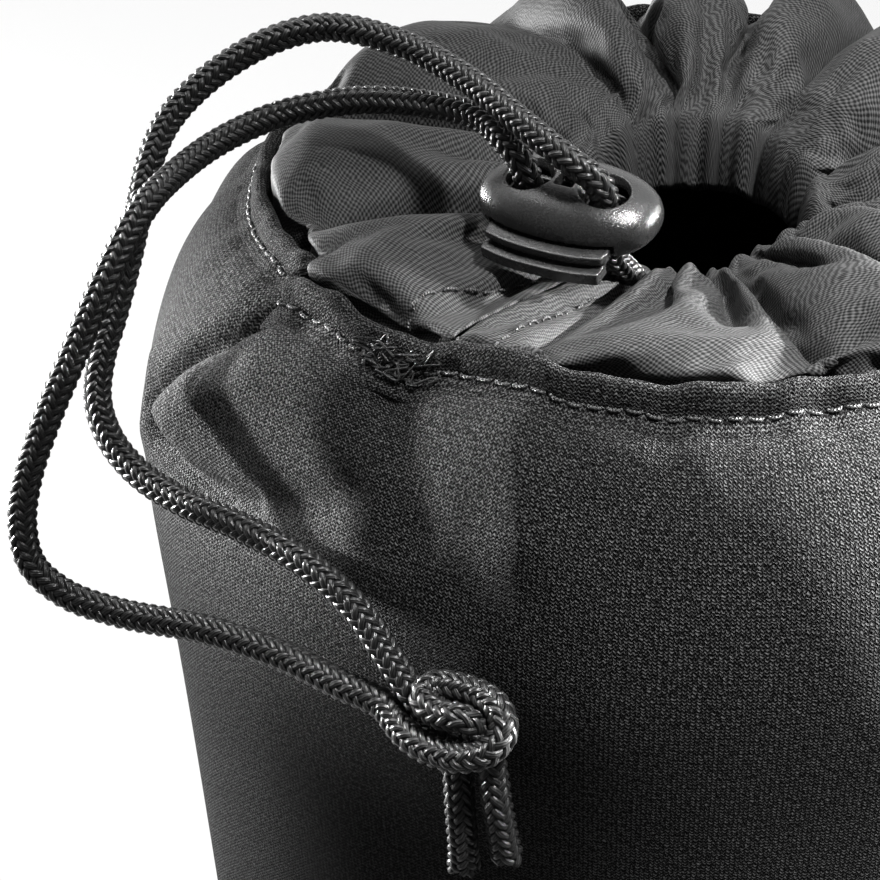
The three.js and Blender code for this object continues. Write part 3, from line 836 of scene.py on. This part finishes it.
# How far each flat point lies from a line of points
def line_distance(x, y, points):
    best = np.full(np.broadcast(x, y).shape, np.inf)
    for (ax, ay), (bx, by) in zip(points[:-1], points[1:]):
        share = ((x - ax) * (bx - ax) + (y - ay) * (by - ay)) / ((bx - ax) ** 2 + (by - ay) ** 2)
        share = np.clip(share, 0, 1)
        best = np.minimum(best, np.hypot(x - ax - share * (bx - ax), y - ay - share * (by - ay)))
    return best


# Creases as lines of (azimuth, height), with a height over the plain panel and a width
CREASES = [
    ([(-55.5, 211.5), (-58, 208.5), (-62.5, 204.5), (-66, 199.5), (-67.6, 196.4)], -3, 1.7),
    ([(-67.6, 196.4), (-66.6, 194.5), (-63, 193.6), (-57.5, 193), (-52, 194)], -3.2, 2.2),
    ([(-57.5, 193), (-52, 194), (-47, 195.5)], -2, 2.4),
    ([(-47, 195.5), (-41, 198), (-34, 201.5)], -1.1, 3.6),
    ([(-51, 206.5), (-56.5, 202.5), (-60, 198.5)], 2.2, 6.5),
    ([(-58, 203.5), (-63.5, 198.5)], 1.6, 3.6),
    ([(-71.5, 200), (-71, 192)], 1.2, 3.5),
    ([(-33.5, 210.5), (-30, 208), (-27.5, 205), (-26, 201)], -1.7, 4.5),
    ([(-21, 203), (-21, 197)], -0.9, 5),
    ([(-19, 211), (-16.5, 207), (-15, 202)], 0.9, 3),
    ([(-11, 211), (-10, 206)], -0.4, 3),
    ([(35, 210), (38, 203), (37, 196)], -0.6, 5),
    ([(74, 211), (70, 204), (72, 195)], -1.2, 5),
    ([(128, 211), (131, 203), (127, 194)], -1, 6),
    ([(171, 211), (168, 201), (172, 190)], -0.9, 6),
    ([(226, 211), (231, 203), (229, 193)], -1.2, 6),
    ([(265, 211), (262, 203), (266, 196)], -0.8, 5),
]
# Slow swells of the wall: how many round it, a length in mm that spaces them up it, and height
SWELLS = [(2, 60, 0.5), (3, 95, 0.5), (5, 44, 0.35), (7, 70, 0.25), (9, 31, 0.2)]


# Columns round the body, closer together at the kink in the hem
def body_azimuths():
    fine = np.linspace(-pi, pi, 4001)
    density = 1 + 4 * np.exp(-(((np.degrees(fine) - KINK) / 12) ** 2))
    share = np.cumsum(density) - density[0]
    return np.interp(np.arange(BODY_COLUMNS) / BODY_COLUMNS, share / share[-1], fine)


# Where the hem is pushed in or out along its round: a step at the kink, and slack elsewhere
def hem_push(azimuth):
    away = degrees_from(np.degrees(azimuth), KINK)
    kink = 2.0 * np.tanh(away / 0.5) * np.exp(-np.abs(away) / 9)
    slack = 0.25 * np.sin(7 * azimuth + 1.1) + 0.2 * np.sin(11 * azimuth + 2.3)
    return kink + (slack + 0.12 * np.sin(17 * azimuth))


# The panel's height over its plain profile, and how far its top is pushed out
def body_relief(azimuth, lengths, profile):
    rim = -len(FLANGE_RADII)
    top = lengths[rim - 1]
    valleys = np.zeros((len(profile), azimuth.size))
    relief = np.zeros((len(profile), azimuth.size))
    x = azimuth[None, :] * MEASURE_RADIUS
    y = lengths[:, None]
    for points, height, width in CREASES:
        ups = [np.interp(z, profile[:rim, 1], lengths[:rim]) for _, z in points]
        line = [(radians(a) * MEASURE_RADIUS, up) for (a, _), up in zip(points, ups)]
        for turn in (-ROUND * MEASURE_RADIUS, 0, ROUND * MEASURE_RADIUS):
            crease = height * np.exp(-((line_distance(x + turn, y, line) / width) ** 1.4))
            valleys = np.minimum(valleys, crease)
            relief += np.clip(crease, 0, None)
    relief += valleys
    for turns, rise, size in SWELLS:
        phase = random.uniform(0, ROUND, 2)
        relief += size * np.sin(turns * azimuth[None, :] + phase[0]) * np.sin(y / rise * 2 + phase[1])
    below = np.clip(top - y, 0, None)
    pucker = 0.12 * np.sin(61 * azimuth + 0.3 * y) + 0.14 * np.sin(37 * azimuth)
    relief += pucker * np.exp(-below / 4.5)
    foot = 0.12 * np.sin(80 * azimuth)[None, :] * np.exp(-(y - lengths[0]) / 4)
    sideways = hem_push(azimuth)[None, :] * np.exp(-((below / 7) ** 2))
    return relief + foot, sideways


BODY_AZIMUTH = body_azimuths()
BODY_OUTER = body_profile(0, 120, 40)
BODY_LENGTHS = along_lengths(BODY_OUTER)
BODY_RELIEF, BODY_SIDEWAYS = body_relief(BODY_AZIMUTH, BODY_LENGTHS, BODY_OUTER)


# How far the hem rises and falls with the body under it
def hem_lift(azimuth):
    return np.interp(azimuth, BODY_AZIMUTH, BODY_RELIEF[-len(FLANGE_RADII) - 1])


def body_shell():
    inner = body_profile(WALL, 26, 10)[::-1]
    direction = unit(np.gradient(BODY_OUTER, axis=0))
    radius = BODY_OUTER[:, :1] + BODY_RELIEF * direction[:, 1:] + BODY_SIDEWAYS
    height = BODY_OUTER[:, 1:] - BODY_RELIEF * direction[:, :1]
    skin = turned_points(radius, height, BODY_AZIMUTH[None, :])
    back = turned_points(inner[:, :1], inner[:, 1:], BODY_AZIMUTH[None, :])
    points = np.concatenate([skin, back]).reshape(-1, 3)
    rows = len(BODY_OUTER) + len(inner)
    us = np.append(BODY_AZIMUTH + pi, ROUND) * MEASURE_RADIUS
    back_lengths = BODY_LENGTHS[-1] + WALL + along_lengths(inner)
    vs = np.concatenate([BODY_LENGTHS, back_lengths, [back_lengths[-1] + WALL]])
    faces = grid_faces(rows, BODY_COLUMNS, True, True).tolist()
    return mesh_object("neoprene_body", points, faces, KNIT, grid_uvs(us, vs))


# A ring with a smooth closed section of (radius, height) points, rippled along its round
def soft_ring(name, corners, azimuth, step, ripple, material):
    corners = np.array(corners)
    closed = np.vstack([corners, corners[:2]])
    flat = smooth_line(np.column_stack([closed, np.zeros(len(closed))]), step)[:, :2]
    first = np.argmin(np.linalg.norm(flat[:len(flat) // 3] - corners[1], axis=1))
    section = flat[first:-1]
    push, lift = ripple(azimuth[:, None], section)
    points = turned_points(section[:, 0] + push, section[:, 1] + lift, azimuth[:, None])
    around = along_lengths(np.vstack([section, section[:1]]))
    along = np.append(azimuth + pi, ROUND) * np.mean(section[:, 0])
    faces = grid_faces(len(azimuth), len(section), True, True).tolist()
    return mesh_object(name, points.reshape(-1, 3), faces, material, grid_uvs(around, along)[:, ::-1])


# The hem is folded in and sewn through, so its foot runs on into the body
STITCHES = 160
STITCH_RADIUS = 49.15
STITCH_HEIGHT = HEM + 1.0
STITCH_LENGTH = 1.5
STITCH_DIVE = 0.45
STITCH_JITTER = 0.1
STITCH_THREAD = 0.2
BAND_TOP = 3.9
BAND_CORNERS = [
    (46.8, 0), (46.8, 3), (47.4, BAND_TOP), (48.2, 3.7), (48.6, 2.8), (48.9, 1.6), (49.2, 1),
    (50, 0.2), (51.4, -1.3), (50.4, -1.9), (48.4, -1.2),
]


def band_ripple(azimuth, section):
    push = hem_push(azimuth) + 0.1 * np.sin(41 * azimuth) * (section[:, 1] > HEM + 1.5)
    seam = np.exp(-(((section[:, 1] - STITCH_HEIGHT) / 0.5) ** 2)) * (section[:, 0] > 48)
    standing = np.clip((section[:, 1] - HEM) / BAND_TOP, 0, 1)
    lift = (0.22 * np.sin(13 * azimuth + 0.4) + 0.15 * np.sin(29 * azimuth)) * standing
    return push - 0.3 * seam, lift + hem_lift(azimuth)


# A round of stitches, each of which dives into the cloth at both ends
def stitch_ring(name, count, radius, height, length, push, lift):
    tubes = Tubes()
    for k in range(count):
        middle = ROUND * (k + 0.5) / count
        steps = np.linspace(-0.5, 0.5, 9)
        azimuth = middle + steps * length / radius - pi
        dive = STITCH_DIVE * np.abs(2 * steps) ** 4
        jitter = random.uniform(-STITCH_JITTER, STITCH_JITTER)
        line = turned_points(radius - dive + push(azimuth), height + jitter + lift(azimuth), azimuth)
        tubes.add_thread(line, STITCH_THREAD)
    return tubes.made(name, THREAD)


dress(body_shell(), "pouch", "neoprene", "side_panel")
hem_corners = [(radius, HEM + rise) for radius, rise in BAND_CORNERS]
band = soft_ring("hem_fold", hem_corners, BODY_AZIMUTH, 0.45, band_ripple, KNIT)
dress(band, "pouch", "neoprene", "hem_band")
hem_seam = (STITCHES, STITCH_RADIUS, STITCH_HEIGHT, STITCH_LENGTH)
dress(stitch_ring("hem_stitches", *hem_seam, hem_push, hem_lift), "pouch", "nylon")


# A tack of tangled thread over the hem where the slit ends, on a face of heights over the hem and radii
TACK_THREADS = 26
TACK_AZIMUTH = -35
TACK_SPREAD = 2.6
TACK_FACE = ((0.4, 1.0, 3.0, 3.8), (50.1, 49.3, 48.7, 48.2))


def tangled_tack():
    tubes = Tubes()
    low, high = TACK_FACE[0][0], TACK_FACE[0][-1]
    for _ in range(TACK_THREADS):
        middle = np.array([random.normal(TACK_AZIMUTH, TACK_SPREAD), random.uniform(0.3, 2.6)])
        bend = random.normal(0, 1, (4, 2)) * (1.3, 0.7)
        lift = random.uniform(0.0, 0.5, 4)
        knots = []
        for (shift, rise), out in zip(bend, lift):
            height = np.clip(middle[1] + rise, low, high)
            radius = np.interp(height, *TACK_FACE) + out
            turn = np.radians(middle[0] + shift)
            knots.append(turned_points(radius + hem_push(turn), HEM + height + hem_lift(turn), turn))
        tubes.add_thread(smooth_line(np.array(knots), 0.2), random.uniform(0.09, 0.15))
    return tubes.made("slit_tack", BRAID)


dress(tangled_tack(), "pouch", "nylon")


# Collar: a flared strip of nylon, sewn to the hem in tucks, drawn together at the mouth, settled as cloth.
# Each puff runs to an azimuth in degrees, with its crest over the plain collar in mm.
PUFFS = [
    (-21, 0), (18, 0.6), (45, 3), (75, 4), (105, 5), (150, 9), (172, 8), (193, 7.5), (215, 8), (260, 5),
    (294, 2.5), (325, 1.5), (331, 0),
]
# Each valley between folds: its azimuth at the hem and at the mouth, the share of the way where it starts,
# and its depth
VALLEYS = [
    (-21, -15, 0, 5), (-4, -5, 0.3, 6), (11, 5, 0.25, 7), (18, 14, 0, 9), (31, 27, 0.4, 6),
    (45, 40, 0, 9), (60, 57, 0.5, 5), (75, 73, 0, 9), (105, 104, 0, 8), (128, 126, 0.6, 3),
    (150, 147, 0, 6), (172, 168, 0, 4), (183, 180, 0.3, 3), (193, 193, 0, 4), (217, 214, 0.55, 3),
    (238, 234, 0.6, 3), (260, 256, 0, 8), (277, 274, 0.4, 4), (294, 292, 0, 8), (310, 307, 0.4, 5),
    (325, 319, 0.2, 4),
]
COLLAR_COLUMNS = 260
COLLAR_ROWS = 40
HEM_INSIDE = 46.4
MOUTH_RIM = 13.0
SLIT_GAP = 0.4
SLIT_DIP = 3.0
SLACK = 1.02
MOUTH_FULLNESS = 1.12
PLEATS = 90
CLOTH_THICKNESS = 0.4
# Stations from the hem to the mouth: share of the way and of the radius, plain height, shares of the puff,
# of the slit's dip and of a valley's depth, and the valley's way outwards and upwards: it goes inwards at
# the hem, down between, and out again at the mouth
STATIONS = np.array([
    (0, 1, -0.6, 0, 0, 0.5, -1, 0),
    (0.1, 1, 3.4, 0, 0, 0.4, -1, 0),
    (0.17, 1.03, 5.2, 0.3, 0.45, 0.5, -0.8, -0.6),
    (0.28, 0.9, 6.3, 0.8, 0.75, 0.8, -0.2, -1),
    (0.45, 0.64, 5.6, 1, 0.9, 1, 0, -1),
    (0.66, 0.36, 4, 0.8, 1, 1, 0, -1),
    (0.85, 0.13, 2, 0.3, 1, 0.75, 0.2, -0.95),
    (1, 0, 0, 0, 1, 0.35, 0.5, -0.85),
])


def puff_crest(degrees):
    crest = np.zeros(degrees.shape)
    start = SLIT
    for end, height in PUFFS:
        inside = (degrees >= start) & (degrees < end)
        crest[inside] = height * np.sin(pi * (degrees[inside] - start) / (end - start)) ** 0.6
        start = end
    return crest


def mm_from(degrees, middle, radius):
    return np.abs(degrees_from(degrees, middle)) * pi / 180 * radius


def valley_depth(degrees, share, radius):
    depth = np.zeros(degrees.shape)
    width = 1.0 + 1.3 * sin(pi * min(share, 0.8) / 0.8)
    for hem, mouth, start, deepest in VALLEYS:
        away = mm_from(degrees, hem + (mouth - hem) * share, radius)
        opened = np.clip((share - start) / 0.25 + (start == 0), 0, 1)
        depth = np.maximum(depth, deepest * opened * np.exp(-(away / width)))
    return depth


# Small pleats that fan out from the mouth: azimuth, lean, the share of the way where it starts,
# height and width
def small_pleats():
    pleats = []
    for k in range(PLEATS):
        middle = SLIT + 360 * (k + random.uniform(0.1, 0.9)) / PLEATS
        height = random.choice([-1.0, 1.0]) * random.uniform(0.4, 1.3)
        lean = random.uniform(-7, 7)
        start = random.uniform(0.15, 0.7)
        pleats.append((middle, lean, start, height, random.uniform(0.7, 1.5)))
    return pleats


SMALL_PLEATS = small_pleats()


def pleat_height(degrees, share, radius):
    height = np.zeros(degrees.shape)
    for mouth, lean, start, rise, width in SMALL_PLEATS:
        away = mm_from(degrees, mouth + lean * (1 - share), radius)
        opened = np.clip((share - start) / 0.3, 0, 1) * (1 - 0.5 * share)
        height += rise * opened * np.exp(-(away / width) ** 1.2)
    return height


# One row of the strip round the collar: radius and height over the hem
def collar_row(degrees, share, is_folded):
    reach, plain, puffed, dipped, deep, outward, upward = [
        np.interp(share, STATIONS[:, 0], column) for column in STATIONS.T[1:]]
    dip = SLIT_DIP * dipped * np.exp(-((degrees_from(degrees, SLIT) / 20) ** 2))
    follow = np.interp(share, (0.17, 0.45), (1.0, 0.0))
    radius = MOUTH_RIM + (HEM_INSIDE - MOUTH_RIM) * reach + follow * hem_push(np.radians(degrees))
    height = plain + puffed * puff_crest(degrees) - dip + (1 - reach) * mouth_height(degrees)
    if is_folded:
        depth = deep * valley_depth(degrees, share, radius) - pleat_height(degrees, share, radius)
        radius = radius + outward * depth
        height = height + upward * depth
    return radius, height


# The strip as drawn together, and the flat flared pattern that it is cut from with its lengths and width
CASING_ROWS = 6


def collar_shapes():
    fine = np.linspace(SLIT + SLIT_GAP, SLIT + 360 - SLIT_GAP, 2400)
    shares = np.linspace(0, 1, COLLAR_ROWS)
    drawn = []
    azimuths = []
    lengths = []
    for share in shares:
        radius, height = collar_row(fine, share, True)
        line = turned_points(radius, HEM + height, np.radians(fine))
        along = along_lengths(line)
        even = np.linspace(0, along[-1], COLLAR_COLUMNS)
        drawn.append(points_at(even, along, line))
        azimuths.append(np.interp(even, along, fine))
        lengths.append(along[-1] * (1 + (MOUTH_FULLNESS - 1) * share ** 1.5))
    plain = np.array([np.stack(collar_row(azimuths[0], share, False), axis=-1) for share in shares])
    steps = np.linalg.norm(np.diff(plain, axis=0), axis=-1)
    width = SLACK * np.vstack([np.zeros(COLLAR_COLUMNS), np.cumsum(steps, axis=0)])
    middle = np.mean(width[-1])
    flare = (lengths[0] - lengths[-1]) / middle
    outer = lengths[0] / flare
    turn = flare * (np.linspace(0, 1, COLLAR_COLUMNS) - 0.5)
    flat = np.stack([(outer - width) * np.sin(turn), 0 * width, -(outer - width) * np.cos(turn)], axis=-1)
    return np.array(drawn), flat, (lengths[0], lengths[-1], middle + CASING_ROWS)


COLLAR_DRAWN, COLLAR_FLAT, COLLAR_SIZE = collar_shapes()
COLLAR_FRAMES = 14
# The cloth is settled at a larger scale, which the solver handles better
SOLVER_SCALE = 50.0


def solver_mesh(name, points, faces):
    mesh = bpy.data.meshes.new(name)
    mesh.from_pydata((points.reshape(-1, 3) * MM * SOLVER_SCALE).tolist(), [], faces.tolist())
    return new_object(name, mesh)


# What the cloth can't pass through
def blocker(points, faces):
    made = solver_mesh("blocker", points, faces)
    made.modifiers.new("collision", "COLLISION")
    made.collision.thickness_outer = 0.012
    made.collision.thickness_inner = 0.1
    made.collision.cloth_friction = 2
    return made


# A plain pebble round the lock, deeper where the button is
def lock_blocker():
    turns = np.linspace(0, ROUND, 24, endpoint=False)
    tilts = np.linspace(-1.45, 1.45, 12)
    points = []
    for tilt in tilts:
        for turn in turns:
            across = 10.2 * cos(turn) * cos(tilt)
            along = (6.6 + 1.4 * (sin(turn) < 0)) * sin(turn) * cos(tilt)
            points.append(in_lock(across, along, 3.4 * sin(tilt)))
    return blocker(np.array(points), grid_faces(len(tilts), len(turns), closed_columns=True))


def band_blocker():
    turn = np.arange(180)[:, None] * ROUND / 180
    section = np.array([(47.0, -1.0), (49.0, -0.5), (49.0, 1.6), (48.4, 3.2), (47.6, 3.7), (47.0, 3.0)])
    radius = section[None, :, 0] + hem_push(turn)
    points = turned_points(radius, HEM + section[None, :, 1], turn + 0 * radius)
    return blocker(points, grid_faces(len(turn), len(section), True, True)[:, ::-1])


# The strip, cut flat and drawn together, held along the hem, the mouth and both edges of the slit
def pinned_strip():
    strip = solver_mesh("strip", COLLAR_FLAT, grid_faces(COLLAR_ROWS, COLLAR_COLUMNS))
    strip.shape_key_add(name="flat")
    drawn = strip.shape_key_add(name="drawn")
    start = COLLAR_DRAWN.reshape(-1, 3) * MM * SOLVER_SCALE
    drawn.data.foreach_set("co", start.astype(np.float32).ravel())
    drawn.value = 1.0
    place = np.arange(COLLAR_ROWS * COLLAR_COLUMNS).reshape(COLLAR_ROWS, COLLAR_COLUMNS)
    held = [*place[:2].ravel(), *place[-1], *place[:, [0, -1]].ravel()]
    strip.vertex_groups.new(name="pins").add([int(k) for k in held], 1.0, "REPLACE")
    return strip


def add_cloth(strip):
    cloth = strip.modifiers.new("cloth", "CLOTH")
    settings = cloth.settings
    settings.quality = 8
    settings.mass = 0.15
    settings.tension_stiffness = 40
    settings.compression_stiffness = 40
    settings.shear_stiffness = 12
    settings.bending_stiffness = 0.2
    settings.air_damping = 3
    settings.vertex_group_mass = "pins"
    settings.rest_shape_key = strip.data.shape_keys.key_blocks["flat"]
    settings.use_pressure = True
    settings.uniform_pressure_force = 0.05
    settings.effector_weights.gravity = 0.1
    touching = cloth.collision_settings
    touching.use_collision = True
    touching.collision_quality = 3
    touching.distance_min = 0.012
    touching.use_self_collision = True
    touching.self_distance_min = 0.014
    touching.self_friction = 3
    cloth.point_cache.frame_start = 1
    cloth.point_cache.frame_end = COLLAR_FRAMES


def settled_collar():
    strip = pinned_strip()
    add_cloth(strip)
    blockers = [lock_blocker(), band_blocker()]
    scene = bpy.context.scene
    for step in range(1, COLLAR_FRAMES + 1):
        scene.frame_set(step)
    shaped = strip.evaluated_get(bpy.context.evaluated_depsgraph_get())
    points = np.empty(COLLAR_ROWS * COLLAR_COLUMNS * 3, dtype=np.float32)
    shaped.data.vertices.foreach_get("co", points)
    scene.frame_set(1)
    for thing in [strip, *blockers]:
        bpy.data.objects.remove(thing)
    return points.reshape(COLLAR_ROWS, COLLAR_COLUMNS, 3).astype(float) / MM / SOLVER_SCALE


# The rim turns down inside the mouth as the casing round the cord
CASING_INSET = 1.9
CASING_DROP = 7.0


def with_casing(points):
    rim = points[-1]
    turn = np.arctan2(rim[:, 0], -rim[:, 1])
    radius = np.hypot(rim[:, 0], rim[:, 1])
    height = rim[:, 2]
    middle = np.mean(height)
    rows = []
    for step in range(1, CASING_ROWS + 1):
        share = step / CASING_ROWS
        r = radius - CASING_INSET * sin(share * pi / 2)
        z = (height - middle) * (1 - 0.45 * share) + middle - CASING_DROP * share ** 1.6
        rows.append(turned_points(r, z, turn))
    return np.concatenate([points, np.array(rows)])


def collar_sheet(points):
    casing = COLLAR_FLAT[-1][None] + np.arange(1, CASING_ROWS + 1)[:, None, None] * np.array([0, 0, 1.0])
    flat = np.concatenate([COLLAR_FLAT, casing])[:, :, [0, 2]].reshape(-1, 2)
    faces = grid_faces(COLLAR_ROWS + CASING_ROWS, COLLAR_COLUMNS)
    uvs = flat[faces].reshape(-1, 2)
    sheet = mesh_object("collar_cloth", points.reshape(-1, 3), faces.tolist(), NYLON, uvs)
    smooth = sheet.modifiers.new("smooth", "SUBSURF")
    smooth.levels = 1
    smooth.render_levels = 1
    solid = sheet.modifiers.new("thickness", "SOLIDIFY")
    solid.thickness = CLOTH_THICKNESS * MM
    solid.offset = -1
    return sheet


# Stitches beside the slit, along two columns of the cloth; starts and lengths count its rows
SEAM_COLUMNS = (3, COLLAR_COLUMNS - 6)
SEAM_STARTS = np.arange(4, 24, 2.2)
SEAM_LENGTH = 1.5
SEAM_RISE = 0.25
SEAM_THREAD = 0.16


def slit_stitches(points):
    tubes = Tubes()
    normal = unit(np.cross(np.gradient(points, axis=1), np.gradient(points, axis=0)))
    for column in SEAM_COLUMNS:
        for first in SEAM_STARTS:
            rows = np.linspace(first, first + SEAM_LENGTH, 6)
            dive = SEAM_RISE - STITCH_DIVE * np.abs(np.linspace(-1, 1, 6)) ** 4
            line = points_at(rows, np.arange(len(points)), points[:, column])
            out = normal[np.round(rows).astype(int), column]
            tubes.add_thread(line + out * dive[:, None], SEAM_THREAD)
    return tubes.made("slit_stitches", THREAD)


collar_points = with_casing(settled_collar())
collar = dress(collar_sheet(collar_points), "pouch", "nylon", "collar", "cord_casing")
dress(slit_stitches(collar_points), "pouch", "nylon")


# Binding tape round the base seam, and how many stitches it has, their radius, height and length
TAPE_SEAM = (100, 53.2, 6.4, 2.5)
TAPE_CORNERS = [
    (51.9, 2.6), (51.9, 5.0), (51.9, 7.4), (52.5, 7.5), (53.0, 7.0), (53.1, 5.0), (53.0, 3.0), (52.5, 2.5),
]
TAPE_AZIMUTH = np.linspace(-pi, pi, 360, endpoint=False)


def tape_push(azimuth):
    return 0.12 * np.sin(80 * azimuth)


def tape_ripple(azimuth, section):
    return tape_push(azimuth) + 0.08 * np.sin(33 * azimuth) + 0 * section[:, 0], 0 * azimuth


binding = soft_ring("binding_tape", TAPE_CORNERS[::-1], TAPE_AZIMUTH, 0.5, tape_ripple, NYLON)
dress(binding, "pouch", "nylon", "base_binding")
dress(stitch_ring("base_stitches", *TAPE_SEAM, tape_push, np.zeros_like), "pouch", "nylon")


# The spring behind the button, which shortens as the button is pressed
SPRING_RADIUS = 1.1
SPRING_WIRE = 0.2
SPRING_FRONT = -2.0
SPRING_BACK = 3.95
SPRING_TURNS = 6


def coil_spring():
    share = np.linspace(0, 1, SPRING_TURNS * 36 + 1)
    turn = ROUND * SPRING_TURNS * share
    across = SPRING_RADIUS * np.cos(turn)
    along = SPRING_FRONT + (SPRING_BACK - SPRING_FRONT) * share
    line = np.array([in_lock(*point) for point in zip(across, along, SPRING_RADIUS * np.sin(turn))])
    tubes = Tubes()
    tubes.add_thread(line, SPRING_WIRE)
    return tubes.made("spring_coil", STEEL)


spring = dress(coil_spring(), "cord_lock", "spring_steel", "lock_spring")
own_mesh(spring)

# The CAD pieces that stay as they are, mostly inside
KNIT_FLAT = knit_material("knit_flat", has_uvs=False)
TAPE_FLAT = weave_material("tape_flat", has_uvs=False)
SHOWN = {
    "base_panel": KNIT_FLAT, "lining_wall": LINING, "lining_base": LINING, "base_pad": FOAM,
    "inner_seam_tape": TAPE_FLAT,
}
for name, material in SHOWN.items():
    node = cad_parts[name]
    node.data.materials.clear()
    node.data.materials.append(material)

# A pale floor that lets most of the white behind it through
FLOOR_HALF = 1000
floor_paper = cloth_material("paper", 0.78, 0.82)
floor_paper.node_tree.nodes["Principled BSDF"].inputs["Alpha"].default_value = 0.12
floor_corners = [(x * FLOOR_HALF, y * FLOOR_HALF, 0) for x, y in ((-1, -1), (1, -1), (1, 1), (-1, 1))]
floor = mesh_object("floor", floor_corners, [(0, 1, 2, 3)], floor_paper)
floor.location.z = -0.5 * MM
